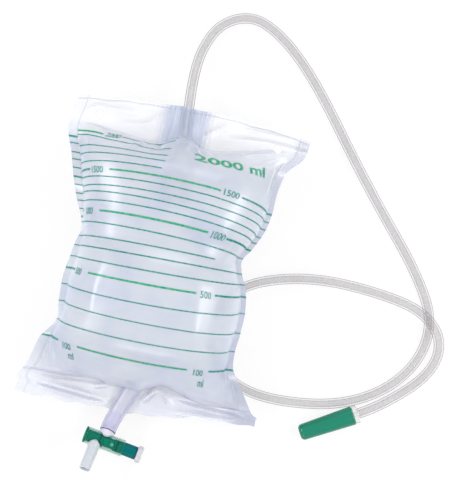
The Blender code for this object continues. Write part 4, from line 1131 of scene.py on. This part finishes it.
class OBJECT_OT_bag_stage(Operator):
    """Set up the camera, the soft lamps, the pale surroundings and the floor."""

    bl_idname = "object.bag_stage"
    bl_label = "Stage"

    def execute(self, context):
        settings = context.scene.bag_stage
        target = np.array(VIEW_TARGET) + np.array([0.0, MIDDLE_Y, 0.0])
        level = math.cos(settings.elevation)
        back = np.array([
            math.sin(settings.azimuth) * level, -math.cos(settings.azimuth) * level,
            math.sin(settings.elevation)])
        camera = bpy.data.cameras.new("view")
        camera.sensor_fit = "HORIZONTAL"
        camera.sensor_width = 36.0
        camera.lens = settings.focal_length
        view = bpy.data.objects.new("view", camera)
        context.collection.objects.link(view)
        view.matrix_world = looking(tuple(target + back * settings.distance), tuple(target), UP)
        context.scene.camera = view
        context.scene.view_settings.view_transform = "Standard"

        middle = (0.0, 0.02, 0.03)
        warm, white = (1.0, 0.99, 0.99), (1.0, 1.0, 1.0)
        for name, place, size, power, colour in (
            ("lamp_left", (-0.70, 0.0, 0.60), (0.09, 0.80), settings.side_power, warm),
            ("lamp_right", (0.70, 0.0, 0.60), (0.09, 0.80), settings.side_power, warm),
            ("lamp_back", (0.10, 0.95, 0.75), (0.70, 0.12), settings.end_power, white),
            ("lamp_front", (0.0, -1.0, 0.55), (0.70, 0.12), settings.end_power, white),
        ):
            add_lamp(name, place, middle, *size, power, colour)
        self.surround(context, settings)
        self.floor(settings)
        return {"FINISHED"}

    def surround(self, context, settings):
        """Even pale light from all around, plain white where it is seen."""
        world = bpy.data.worlds.new("surround")
        world.use_nodes = True
        context.scene.world = world
        tree = world.node_tree
        light = tree.nodes["Background"]
        light.inputs["Color"].default_value = (0.96, 0.96, 1.0, 1.0)
        light.inputs["Strength"].default_value = settings.sky
        white = tree.nodes.new("ShaderNodeBackground")
        white.inputs["Color"].default_value = (1.0, 1.0, 1.0, 1.0)
        both = tree.nodes.new("ShaderNodeMixShader")
        tree.links.new(seen_directly(tree), both.inputs[0])
        tree.links.new(light.outputs[0], both.inputs[1])
        tree.links.new(white.outputs[0], both.inputs[2])
        tree.links.new(both.outputs[0], tree.nodes["World Output"].inputs["Surface"])

    def floor(self, settings):
        """A wide pale floor: a square just under the bag, nearly white where it is seen."""
        half, drop = 3.0, -0.05 * MM
        turns = ((-1, -1), (1, -1), (1, 1), (-1, 1))
        mesh = bpy.data.meshes.new("floor")
        mesh.from_pydata([(half * x, half * y, drop) for x, y in turns], [], [(0, 1, 2, 3)])
        look = bpy.data.materials.new("floor")
        look.use_nodes = True
        tree = look.node_tree
        shader = tree.nodes["Principled BSDF"]
        shader.inputs["Base Color"].default_value = (0.90, 0.90, 0.92, 1.0)
        shader.inputs["Roughness"].default_value = 0.9
        white = tree.nodes.new("ShaderNodeEmission")
        both = tree.nodes.new("ShaderNodeMixShader")
        share = maths(tree, "MULTIPLY", seen_directly(tree), settings.white_share)
        tree.links.new(share, both.inputs[0])
        tree.links.new(shader.outputs[0], both.inputs[1])
        tree.links.new(white.outputs[0], both.inputs[2])
        tree.links.new(both.outputs[0], tree.nodes["Material Output"].inputs["Surface"])
        mesh.materials.append(look)
        floor = bpy.data.objects.new("floor", mesh)
        bpy.context.collection.objects.link(floor)
        floor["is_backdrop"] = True


class OBJECT_OT_bag_connector(Operator):
    """Make the clear stepped connector and the green cap that is pulled off it."""

    bl_idname = "object.bag_connector"
    bl_label = "Connector and cap"

    def execute(self, context):
        colours = context.scene.bag_fittings
        place = cap_axes()
        clear = clear_look("connector_clear", tuple(colours.clear), (0.42, 0.42, 0.45), 0.35, 0.85)
        turned(
            "connector_body", self.connector_profile(), 0.3 * MM, place, clear, "bag",
            "inlet_connector", sides=72)
        green, _, _ = plastic(
            "cap_green", tuple(colours.green), 0.35, depth=0.03, gloss=0.15, coat=0.45,
            coat_roughness=0.12)
        turned(
            "cap_shell", self.cap_profile(), 0.35 * MM, place, green, "cap", "protective_cap", 3)
        return {"FINISHED"}

    def connector_profile(self):
        """Collar ring, boss that grips the cap, stepped cone and a through bore."""
        boss_r = CAP_OPEN_R - CAP_WALL - GAP
        back = GAP + COLLAR_RING_T
        soft = 0.15 * COLLAR_RING_T
        profile = [
            (back, CONNECTOR_BORE_R), (back, COLLAR_RING_R - soft), (back - soft, COLLAR_RING_R),
            (GAP + soft, COLLAR_RING_R), (GAP, COLLAR_RING_R - soft), (GAP, boss_r),
            (-BOSS_LENGTH, boss_r - (CAP_OPEN_R - CAP_CLOSED_R) * BOSS_LENGTH / CAP_LENGTH),
        ]
        for step in range(CONE_STEPS):
            start = -BOSS_LENGTH - CONE_LENGTH * step / CONE_STEPS
            stop = -BOSS_LENGTH - CONE_LENGTH * (step + 1) / CONE_STEPS
            base = CONE_BASE_R + (CONE_TIP_R - CONE_BASE_R) * step / CONE_STEPS
            tip = CONE_BASE_R + (CONE_TIP_R - CONE_BASE_R) * (step + 1) / CONE_STEPS
            profile += [(start, base), (stop, tip + CONE_STEP)]
        return profile + [(-BOSS_LENGTH - CONE_LENGTH, CONNECTOR_BORE_R)]

    def cap_profile(self):
        """Tapered wall with a rounded closed end: a quarter circle between wall and end."""
        end, soft = -CAP_LENGTH, 3.4 * MM
        inner_end = end + 1.6 * CAP_WALL
        inner_open, inner_closed = CAP_OPEN_R - CAP_WALL, CAP_CLOSED_R - CAP_WALL
        chamfer = 0.3 * CAP_WALL
        profile = [(0.0, inner_open), (0.0, CAP_OPEN_R - chamfer), (-chamfer, CAP_OPEN_R)]
        for angle in np.linspace(0.0, math.pi / 2, 9):
            along = end + soft * (1 - math.sin(angle))
            profile.append((along, CAP_CLOSED_R - soft * (1 - math.cos(angle))))
        slant = 0.6 * CAP_WALL
        profile += [(end, 0.0), (inner_end, 0.0), (inner_end, inner_closed - slant)]
        return profile + [(inner_end + slant, inner_closed)]


class OBJECT_OT_bag_tube(Operator):
    """Lay the clear inlet tube along its route from the top flange to the connector."""

    bl_idname = "object.bag_tube"
    bl_label = "Inlet tube"

    def execute(self, context):
        settings = context.scene.bag_tube
        start = np.linspace(TOP_WELD_Y + TUBE_INNER_END, TOP_EDGE_Y, 5)
        welded = list(zip(tube_x(start), start, seam_height(start)))
        origin, way, _, _ = cap_axes()
        end = origin + way * (COLLAR_RING_T + 3 * GAP)
        path = smooth_route(welded + TUBE_ROUTE + [tuple(end)], PATH_STEP)
        side, up = tube_frame(path)
        outer, inner, sides = settings.diameter / 2, settings.bore / 2, 40
        points, faces = pipe(path, side, up, (outer, outer), (inner, inner), sides)
        u = np.repeat(np.concatenate([np.zeros(len(path)), np.ones(len(path)), [0.0]]), sides)
        tube = make_piece(
            "soft_tube", points, faces, self.tube_look(settings), "bag", "inlet_tube",
            uv=np.stack([u, 0 * u], axis=1))
        return {"FINISHED"}

    def tube_look(self, settings):
        """Clear wall with a dark line along each edge, round a greyer bore.

        U is 0 on the outside and 1 in the bore.
        """
        grey, edge = tuple(settings.colour), tuple(settings.edge_colour)
        look, tree, shader = plastic("tube_clear", grey, 0.18, depth=0.01, spread=0.05, gloss=0.4)
        bore = band(tree, 1.0, 0.5, 1.0)
        line = facing(tree, 0.46, 0.80, 0.0, 1.0)
        outside = maths(tree, "MULTIPLY_ADD", line, 0.78, 0.09)
        inside = facing(tree, 0.10, 0.70, 0.24, 0.36)
        tree.links.new(map_range(tree, bore, 0.0, 1.0, outside, inside), shader.inputs["Alpha"])
        dark = maths(tree, "MULTIPLY", line, maths(tree, "SUBTRACT", 1.0, bore))
        tree.links.new(mix_colours(tree, dark, grey, edge), shader.inputs["Base Color"])
        return look


class OBJECT_OT_bag_films(Operator):
    """Make the two welded films as they stand inflated, with their folds and hanging holes."""

    bl_idname = "object.bag_films"
    bl_label = "Films"

    def execute(self, context):
        opacity = context.scene.bag_film.opacity
        for name, node, front in (
            ("printed_film", "front_film", True), ("rear_film", "back_film", False),
        ):
            p, y = self.flat_grid()
            inner = on_film(p, y, front).reshape(-1, 3)
            outer = on_film(p, y, front, FILM).reshape(-1, 3)
            faces = grid_faces(*p.shape)
            if not front:
                faces = faces[:, ::-1]
            uv = np.stack([
                p.ravel() / FLAT_WIDTH + 0.5,
                (y.ravel() - BOTTOM_EDGE_Y) / (TOP_EDGE_Y - BOTTOM_EDGE_Y)], axis=1)
            points, closed = shell(inner, outer, faces)
            film = make_piece(
                name, points, closed, film_look(f"{name}_skin", opacity), "bag", node,
                uv=np.concatenate([uv, uv]), tidy=False, sharp=60.0)
            self.cut_holes(film)
        return {"FINISHED"}

    def flat_grid(self):
        """Flat points of the grid, row by row from the bottom edge.

        Rows crowd at the welds, where the pillow rises steeply: the share along the chamber is
        t less four fifths of sin(2 pi t) / (2 pi). Columns crowd beside the tube and the outlet.
        """
        low = np.linspace(BOTTOM_EDGE_Y, BOTTOM_WELD_Y, 30)[:-1]
        t = np.linspace(0.0, 1.0, 128)
        share = t - 0.8 * np.sin(2 * math.pi * t) / (2 * math.pi)
        chamber = BOTTOM_WELD_Y + (TOP_WELD_Y - BOTTOM_WELD_Y) * share
        top = np.linspace(TOP_WELD_Y, TOP_EDGE_Y, 36)[1:]
        y = np.concatenate([low, chamber, top])[:, None]
        middle = channel_x(y)
        reach = 1.4 * (channel_radius(y) + FILM)
        near = RIB_FROM_TUBE + RIB_REACH
        stops = [-FLAT_WIDTH / 2 + 0 * y, -CORNER + 0 * y, middle - near, middle - reach]
        stops += [middle + reach, middle + near, CORNER + 0 * y, FLAT_WIDTH / 2 + 0 * y]
        columns = [
            start + (stop - start) * np.linspace(0.0, 1.0, count, endpoint=False)
            for start, stop, count in zip(stops, stops[1:], (5, 22, 58, 32, 58, 26, 5))
        ]
        p = np.concatenate(columns + [stops[-1]], axis=1)
        return p, np.broadcast_to(y, p.shape).copy()

    def cut_holes(self, film):
        """Cut the two hanging holes with upright round cutters."""
        arch = TOP_EDGE_ARCH * (HANG_HOLE_X / (FLAT_WIDTH / 2)) ** 2
        y = TOP_EDGE_Y - arch - HANG_HOLE_FROM_EDGE + MIDDLE_Y
        profile = [(0.0, 0.0), (0.0, HANG_HOLE_R), (100 * MM, HANG_HOLE_R), (100 * MM, 0.0)]
        parts = [
            lathe(profile, axes((side * HANG_HOLE_X, y, 0.0), UP, (0.0, 1.0, 0.0)), sides=48)
            for side in (-1, 1)]
        points, faces = joined(parts)
        mesh = bpy.data.meshes.new("hole_cutters")
        mesh.from_pydata(points.tolist(), [], faces.tolist())
        merge_and_orient(mesh)
        cutters = bpy.data.objects.new("hole_cutters", mesh)
        bpy.context.collection.objects.link(cutters)
        cut = film.modifiers.new("holes", "BOOLEAN")
        cut.operation, cut.solver, cut.object = "DIFFERENCE", "EXACT", cutters
        whole = film.data
        graph = bpy.context.evaluated_depsgraph_get()
        film.data = bpy.data.meshes.new_from_object(film.evaluated_get(graph))
        film.modifiers.clear()
        bpy.data.meshes.remove(whole)
        bpy.data.objects.remove(cutters)
        bpy.data.meshes.remove(mesh)


class OBJECT_OT_bag_scale(Operator):
    """Print the scale on the front film: lines, numbers, units and the capacity."""

    bl_idname = "object.bag_scale"
    bl_label = "Printed scale"

    def execute(self, context):
        settings = context.scene.bag_print
        bold = ink_look("bold_ink", tuple(settings.bold_colour))
        thin = ink_look("thin_ink", tuple(settings.thin_colour))
        thin_parts, bold_parts = [], []
        for value, left, right in THIN_MARKS:
            end = SHORT_MARKS_END.get(value, FULL_REACH) * MM
            start = -FULL_REACH * MM if value in FIN_MARKS else -FLAT_WIDTH
            thin_parts.append(self.stretch(left, right, start, end, settings.thin_line))
            if value in FIN_MARKS:
                thin_parts.append(self.fin_mark(value, settings.thin_line))
        for value, left, right in BOLD_MARKS:
            for start, end in BOLD_STRETCHES[value]:
                outer = value != 2000 and abs(start + end) / 2 > OUTER_STRETCH
                parts = thin_parts if outer else bold_parts
                parts.append(self.stretch(left, right, start * MM, end * MM, settings.bold_line))
            thin_parts.append(self.fin_mark(value, settings.bold_line))
        level = BOLD_MARKS[0][1]
        thin_parts.append(self.stretch(
            level, level, SHORT_2000_START, SHORT_MARKS_END[2000] * MM, settings.thin_line))
        make_piece("scale_lines", *joined(thin_parts), thin, "bag")
        make_piece("scale_bold_lines", *joined(bold_parts), bold, "bag")

        high = settings.digit_height
        words = [
            self.word(str(value), place, len(str(value)) * DIGIT_WIDTH, high, DIGIT_BOLDER)
            for value, places in NUMBERS.items() for place in places]
        words += [
            self.word("ml", place, UNIT_WIDTH, UNIT_HEIGHT_SHARE * high, DIGIT_BOLDER)
            for place in UNIT_PLACES]
        make_piece("scale_numbers", *joined(words), thin, "bag")
        capacity = self.word(
            "2000 ml", CAPACITY_PLACE, CAPACITY_WIDTH, CAPACITY_HEIGHT, CAPACITY_BOLDER)
        make_piece("capacity_print", *capacity, bold, "bag")
        return {"FINISHED"}

    def stretch(self, left, right, start_x, end_x, width):
        """A line of ink from one x to another, seen from above.

        Its flat height goes straight from the one weld's value to the other's. It starts at the
        left weld if its x lies beyond WELD_REACH, at the fin's edge if it lies beyond the film,
        and it ends at the right fin's edge if its x lies beyond WELD_REACH.
        """
        level = 0.5 * (left + right) * MM
        rows = np.array([level, level])
        ends = flat_place(np.array([start_x, end_x]), film_place(np.zeros(2), rows, True)[:, 1])[0]
        start = -CORNER if start_x < -WELD_REACH * MM else ends[0]
        if start_x < -FLAT_WIDTH / 2:
            start = -FLAT_WIDTH / 2 + FIN_MARGIN
        end = FLAT_WIDTH / 2 - FIN_MARGIN if end_x > WELD_REACH * MM else ends[1]
        return self.strip(left, right, start, end, width)

    def strip(self, left, right, start, end, width):
        """Closed strip of ink between two flat places across the film."""
        count = max(3, int(math.ceil(abs(end - start) / INK_STEP)) + 1)
        p = np.linspace(start, end, count)[:, None] + np.zeros((1, 3))
        level = (left + (right - left) * (p / CORNER + 1) / 2) * MM
        y = level + width * np.array([0.5, 0.0, -0.5])
        faces = grid_faces(count, 3)
        lower = on_film(p, y, True, FILM + INK).reshape(-1, 3)
        upper = on_film(p, y, True, FILM + 2 * INK).reshape(-1, 3)
        return shell(lower, upper, faces)

    def fin_mark(self, value, width):
        """The line's own piece on the left fin, lower than on the pillow."""
        level = FIN_MARKS[value]
        start, end = -FLAT_WIDTH / 2 + FIN_MARGIN, -CORNER - FIN_MARK_GAP
        return self.strip(level, level, start, end, width)

    def word(self, text, place, width, height, bolder):
        """Numbers or letters laid on the film about a place seen from above, in mm.

        The flat outlines are scaled to their width and height, cut finely enough to bend, and
        each point goes to the film at its own flat place.
        """
        curve = bpy.data.curves.new("word", "FONT")
        curve.body = text
        curve.size = 1.0
        curve.extrude = 0.5
        curve.offset = bolder
        curve.resolution_u = 4
        obj = bpy.data.objects.new("word", curve)
        bpy.context.collection.objects.link(obj)
        bpy.context.view_layer.update()
        graph = bpy.context.evaluated_depsgraph_get()
        mesh = bpy.data.meshes.new_from_object(obj.evaluated_get(graph))
        bpy.data.objects.remove(obj)
        shape = bmesh.new()
        shape.from_mesh(mesh)
        bmesh.ops.remove_doubles(shape, verts=shape.verts, dist=1e-5)
        bmesh.ops.triangulate(shape, faces=shape.faces)
        for _ in range(3):
            long_edges = [
                edge for edge in shape.edges
                if edge.calc_length() > LETTER_STEP
                and abs(edge.verts[0].co.z - edge.verts[1].co.z) < 0.1]
            bmesh.ops.subdivide_edges(shape, edges=long_edges, cuts=1)
            bmesh.ops.triangulate(shape, faces=shape.faces)
        shape.to_mesh(mesh)
        shape.free()
        points = np.empty(len(mesh.vertices) * 3)
        mesh.vertices.foreach_get("co", points)
        points = points.reshape(-1, 3)
        faces = np.empty(len(mesh.polygons) * 3, dtype=np.int32)
        mesh.polygons.foreach_get("vertices", faces)
        faces = faces.reshape(-1, 3)
        bpy.data.meshes.remove(mesh)
        low, high = points.min(axis=0), points.max(axis=0)
        p0, y0 = flat_place(*(np.array([coordinate * MM]) for coordinate in place))
        p = p0[0] + (points[:, 0] - 0.5 * (low[0] + high[0])) * width / (high[0] - low[0])
        y = y0[0] + (points[:, 1] - 0.5 * (low[1] + high[1])) * height / (high[1] - low[1])
        lift = FILM + INK + INK * (points[:, 2] > 0)
        return on_film(p, y, True, lift), faces


class OBJECT_OT_bag_valve(Operator):
    """Make the soft flattened non-return valve at the tube's inner end."""

    bl_idname = "object.bag_valve"
    bl_label = "Non-return valve"

    def execute(self, context):
        share = np.linspace(0.0, 1.0, 40)
        y = TOP_WELD_Y + TUBE_INNER_END - 2 * GAP - share * VALVE_LENGTH
        path = np.stack([tube_x(y), y, seam_height(y)], axis=1)
        side, up = tube_frame(path)
        radius = context.scene.bag_tube.diameter / 2
        lip = VALVE_WALL + VALVE_SLIT / 2
        flat = smoothstep(share / 0.6)
        half_width = radius + (VALVE_LIP_WIDTH / 2 - radius) * flat
        half_height = radius + (lip - radius) * flat
        inside = (half_width - VALVE_WALL, half_height - VALVE_WALL)
        points, faces = pipe(path, side, up, (half_width, half_height), inside)
        look = clear_look("valve_film", (0.88, 0.87, 0.95), (0.62, 0.61, 0.74), 0.03, 0.22)
        make_piece("valve_sleeve", points, faces, look, "bag", "non_return_valve")
        return {"FINISHED"}


class OBJECT_OT_bag_outlet(Operator):
    """Make the soft outlet tube from the bottom flange to the tap."""

    bl_idname = "object.bag_outlet"
    bl_label = "Outlet tube"

    def execute(self, context):
        lavender = tuple(context.scene.bag_fittings.lavender)
        dark = tuple(0.45 * c for c in lavender)
        path = self.outlet_path()
        side, up = tube_frame(path)
        count, sides = len(path), 64
        along = np.linspace(0.0, 1.0, count)
        ends = smoothstep(np.minimum(along, 1.0 - along) / 0.02)
        rounded = OUTLET_R - 0.35 * MM * (1 - ends)
        bore = (OUTLET_BORE_R, OUTLET_BORE_R)
        points, faces = pipe(path, side, up, (rounded, rounded), bore, sides)
        v = np.repeat(np.concatenate([along, along[::-1], along[:1]]), sides)
        uv = np.stack([np.tile(np.arange(sides) / sides, 2 * count + 1), v], axis=1)
        look = clear_look(
            "outlet_plastic", lavender, dark, 0.50, 0.92, 0.45, 0.95, roughness=0.25, gloss=0.45)
        tree = look.node_tree
        shader = tree.nodes["Principled BSDF"]
        ring = band(tree, 1.0, 0.022)
        base = shader.inputs["Base Color"].links[0].from_socket
        rim = mix_colours(tree, ring, base, (0.14, 0.08, 0.30))
        tree.links.new(rim, shader.inputs["Base Color"])
        alpha = shader.inputs["Alpha"].links[0].from_socket
        tree.links.new(maths(tree, "ADD", alpha, ring, clamp=True), shader.inputs["Alpha"])
        make_piece("soft_outlet", points, faces, look, "bag", "outlet_tube", uv=uv, tidy=False)
        return {"FINISHED"}

    def outlet_path(self):
        """Middle of the outlet tube: straight in the flange and at the tap, a cubic between.

        The cubic is a Bezier curve whose handles follow the two straight ends.
        """
        edge, way, _, _ = outlet_axes()
        left, u, back, _ = tap_axes()
        w = -back
        start = edge - way * OUTLET_INSIDE
        end = left + u * INLET_U - w * (BODY_R + COLLAR_LENGTH + GAP)
        leave = edge + way * OUTLET_STRAIGHT
        arrive = end - w * (SPIGOT_TIP_W - BODY_R - COLLAR_LENGTH)
        pull = np.linalg.norm(arrive - leave) / 3
        s = np.linspace(0.0, 1.0, 24)[:, None]
        a, b, c, d = (1 - s) ** 3, 3 * s * (1 - s) ** 2, 3 * s * s * (1 - s), s**3
        bend = leave * (a + b) + arrive * (c + d) + (way * b - w * c) * pull
        first = start + (leave - start) * np.linspace(0.0, 1.0, 36)[:-1, None]
        last = arrive + (end - arrive) * np.linspace(0.0, 1.0, 14)[1:, None]
        return np.concatenate([first, bend, last])


class OBJECT_OT_bag_tap(Operator):
    """Make the tap's clear barrel, its spigot and its spout."""

    bl_idname = "object.bag_tap"
    bl_label = "Tap body"

    def execute(self, context):
        colours = context.scene.bag_fittings
        place = tap_axes()
        bore = BODY_R - BODY_WALL
        clear = clear_look(
            "barrel_clear", (0.05, 0.40, 0.30), (0.46, 0.62, 0.55), 0.05, 0.95, 0.30, 0.62,
            gloss=0.12)
        barrel = [(0.0, bore), (0.0, BODY_R), (BODY_LENGTH, BODY_R), (BODY_LENGTH, bore)]
        turned("tap_barrel", barrel, 0.35 * MM, place, clear, "bag", "tap_body")

        collar_end, inside = BODY_R + COLLAR_LENGTH, 2.0 * MM
        spigot = [
            (inside, SPIGOT_BORE_R), (inside, COLLAR_R), (collar_end, COLLAR_R),
            (collar_end, SPIGOT_R), (SPIGOT_TIP_W, SPIGOT_R), (SPIGOT_TIP_W, SPIGOT_BORE_R),
        ]
        look = clear_look("spigot_white", (0.86, 0.84, 0.92), (0.62, 0.58, 0.72), 0.7, 0.95)
        points, faces = lathe(softened(spigot, 0.3 * MM), place, along="Y", at=(INLET_U, 0, 0))
        make_piece("tap_spigot", self.seated(points, place, 1), faces, look, "bag")

        boss_end = BODY_R + SPOUT_BOSS_LENGTH
        spout = [
            (-inside, SPOUT_BORE_R), (-inside, SPOUT_BOSS_R), (-boss_end, SPOUT_BOSS_R),
            (-boss_end, SPOUT_R), (-SPOUT_TIP_W, SPOUT_TIP_R), (-SPOUT_TIP_W, SPOUT_BORE_R),
        ]
        look = clear_look(
            "spout_frosted", (0.63, 0.67, 0.71), (0.60, 0.62, 0.68), 0.72, 0.92, roughness=0.4)
        points, faces = lathe(softened(spout, 0.9 * MM, 6), place, along="Y", at=(SPOUT_U, 0, 0))
        make_piece("tap_spout", self.seated(points, place, -1), faces, look, "bag")
        self.gate_mark(place)
        return {"FINISHED"}

    def seated(self, points, place, side):
        """Bring a branch's inner end onto a cylinder inside the barrel's wall.

        A point nearer to the barrel's axis than sqrt(radius^2 - z^2) along the branch goes there.
        """
        origin, _, y_axis, z_axis = place
        along, across = (points - origin) @ y_axis, (points - origin) @ z_axis
        radius = BODY_R - 0.4 * BODY_WALL
        least = np.sqrt(np.maximum(radius**2 - across**2, 0.0))
        return points + (side * np.maximum(side * along, least) - along)[:, None] * y_axis

    def gate_mark(self, place):
        """Frosted lens where the barrel was moulded: a low cap of a sphere on its upper side."""
        origin, x_axis, _, _ = place
        centre = origin + x_axis * DIMPLE_U
        upright = axes(centre, UP, (0, 1, 0))
        rise, seat, foot = 0.65 * MM, BODY_R - 0.5 * MM, BODY_R - 0.8 * MM
        turns = np.linspace(math.pi / 2, 0.0, 7)[1:]
        profile = [(seat + rise, 0.0)]
        profile += [(seat + rise * math.sin(a), DIMPLE_R * math.cos(a)) for a in turns]
        profile += [(foot, DIMPLE_R), (foot, 0.0)]
        look, _, _ = plastic("gate_frost", (0.06, 0.30, 0.21), 0.5, depth=0.1, gloss=0.3)
        points, faces = lathe(profile, upright, sides=32)
        make_piece("tap_gate_mark", points, faces, look, "bag")


class OBJECT_OT_bag_plunger(Operator):
    """Make the green plunger, its two seals and its white button."""

    bl_idname = "object.bag_plunger"
    bl_label = "Plunger, seals and button"

    def execute(self, context):
        colours = context.scene.bag_fittings
        place = tap_axes()
        green, tree, shader = plastic("plunger_green", tuple(colours.green), 0.3, gloss=0.08)
        points, faces = lathe(softened(self.plunger_profile(), 0.25 * MM, 3), place, sides=96)
        length = BODY_LENGTH + PLUNGER_LENGTH_OUT
        v = (points - place[0]) @ place[1] / length
        end = band(tree, 1.0, 1.5 * PLUNGER_LENGTH_OUT / length)
        teal = (0.0, 0.125, 0.130)
        tree.links.new(
            mix_colours(tree, end, tuple(colours.green), teal), shader.inputs["Base Color"])
        make_piece(
            "plunger_rod", points, faces, green, "tap_plunger", "plunger",
            uv=np.stack([0 * v, v], axis=1))

        rubber, _, _ = plastic("seal_rubber", (0.0, 0.06, 0.045), 0.55, depth=0.15, gloss=0.2)
        middle, radius = self.seal_sizes()[0], SEAL_THICKNESS / 2
        angles = 2 * math.pi * np.arange(16) / 16
        for side, u in (("left", SEAL_LEFT_U), ("right", SEAL_RIGHT_U)):
            section = [u + radius * np.cos(angles), middle + radius * np.sin(angles)]
            points, faces = lathe(np.stack(section, axis=1), place)
            make_piece(f"seal_ring_{side}", points, faces, rubber, "tap_plunger", f"seal_{side}")

        white, _, _ = plastic("button_white", tuple(colours.white), 0.32, depth=0.06, coat=0.3)
        start = BODY_LENGTH + PLUNGER_LENGTH_OUT + GAP
        socket_r, socket_end, end = BUTTON_PIN_R + GAP, start + BUTTON_PIN_LENGTH, start + BUTTON_T
        soft = 0.25 * BUTTON_T
        profile = [
            (start, socket_r), (start, BUTTON_R - 0.4 * soft), (start + 0.4 * soft, BUTTON_R),
            (end - soft, BUTTON_R), (end - 0.3 * soft, BUTTON_R - 0.3 * soft),
            (end, BUTTON_R - soft), (end, 0.0), (socket_end, 0.0), (socket_end, socket_r),
        ]
        turned("button_knob", profile, 0.5 * MM, place, white, "tap_plunger", "push_button")
        return {"FINISHED"}

    def seal_sizes(self):
        """Middle radius of a seal ring, and the radius of the groove that it sits in."""
        outside = BODY_R - BODY_WALL - GAP + SEAL_PROUD
        middle = outside - SEAL_THICKNESS / 2
        return middle, middle - SEAL_THICKNESS / 2 - SEAL_CLEARANCE

    def plunger_profile(self):
        """Disc, two sealing lands with their grooves, a thin neck, the push end and its pin."""
        land = BODY_R - BODY_WALL - GAP
        groove = self.seal_sizes()[1]
        half = SEAL_THICKNESS / 2 + 2 * SEAL_CLEARANCE
        end = BODY_LENGTH + PLUNGER_LENGTH_OUT
        back, edge, land_width = -GAP, 0.3 * PLUNGER_DISC_T, 2.2 * SEAL_THICKNESS
        return [
            (back - PLUNGER_DISC_T, 0.0), (back - PLUNGER_DISC_T, PLUNGER_DISC_R - edge),
            (back - PLUNGER_DISC_T + edge, PLUNGER_DISC_R), (back - edge, PLUNGER_DISC_R),
            (back, PLUNGER_DISC_R - edge), (back, land),
            (SEAL_LEFT_U - half, land), (SEAL_LEFT_U - half, groove),
            (SEAL_LEFT_U + half, groove), (SEAL_LEFT_U + half, land),
            (SEAL_LEFT_U + land_width, land), (SEAL_LEFT_U + land_width + edge, NECK_R),
            (SEAL_RIGHT_U - land_width - edge, NECK_R), (SEAL_RIGHT_U - land_width, land),
            (SEAL_RIGHT_U - half, land), (SEAL_RIGHT_U - half, groove),
            (SEAL_RIGHT_U + half, groove), (SEAL_RIGHT_U + half, land),
            (end, land), (end, BUTTON_PIN_R), (end + BUTTON_PIN_LENGTH, BUTTON_PIN_R),
            (end + BUTTON_PIN_LENGTH, 0.0),
        ]


OPERATORS = (
    OBJECT_OT_bag_stage, OBJECT_OT_bag_connector, OBJECT_OT_bag_tube, OBJECT_OT_bag_films,
    OBJECT_OT_bag_scale, OBJECT_OT_bag_valve, OBJECT_OT_bag_outlet, OBJECT_OT_bag_tap,
    OBJECT_OT_bag_plunger,
)
SETTINGS = {
    "bag_film": FilmSettings, "bag_print": PrintSettings, "bag_tube": TubeSettings,
    "bag_fittings": FittingSettings, "bag_stage": StageSettings,
}


class VIEW3D_PT_drainage_bag(Panel):
    """Sizes and colours of the bag, and a button for each group of its pieces."""

    bl_label = "Drainage bag"
    bl_space_type = "VIEW_3D"
    bl_region_type = "UI"
    bl_category = "Drainage bag"

    def draw(self, context):
        for group_name, group in SETTINGS.items():
            box = self.layout.box()
            for setting in group.__annotations__:
                box.prop(getattr(context.scene, group_name), setting)
        for operator in OPERATORS:
            self.layout.operator(operator.bl_idname)


def register():
    """Register the settings, the operators and the panel."""
    for group_name, group in SETTINGS.items():
        bpy.utils.register_class(group)
        setattr(bpy.types.Scene, group_name, PointerProperty(type=group))
    for operator in OPERATORS:
        bpy.utils.register_class(operator)
    bpy.utils.register_class(VIEW3D_PT_drainage_bag)


def unregister():
    """Take them out again."""
    bpy.utils.unregister_class(VIEW3D_PT_drainage_bag)
    for operator in reversed(OPERATORS):
        bpy.utils.unregister_class(operator)
    for group_name, group in reversed(list(SETTINGS.items())):
        delattr(bpy.types.Scene, group_name)
        bpy.utils.unregister_class(group)


def main():
    """Make the stage and every piece, and work out the two boxes."""
    register()
    bpy.ops.object.bag_stage()
    bpy.ops.object.bag_connector()
    bpy.ops.object.bag_tube()
    bpy.ops.object.bag_films()
    bpy.ops.object.bag_scale()
    bpy.ops.object.bag_valve()
    bpy.ops.object.bag_outlet()
    bpy.ops.object.bag_tap()
    bpy.ops.object.bag_plunger()
    boxes = {"cad": CAD_BOX, "visual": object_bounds()}
    boxes = {name: [list(corner) for corner in box] for name, box in boxes.items()}


if __name__ == "__main__":
    main()
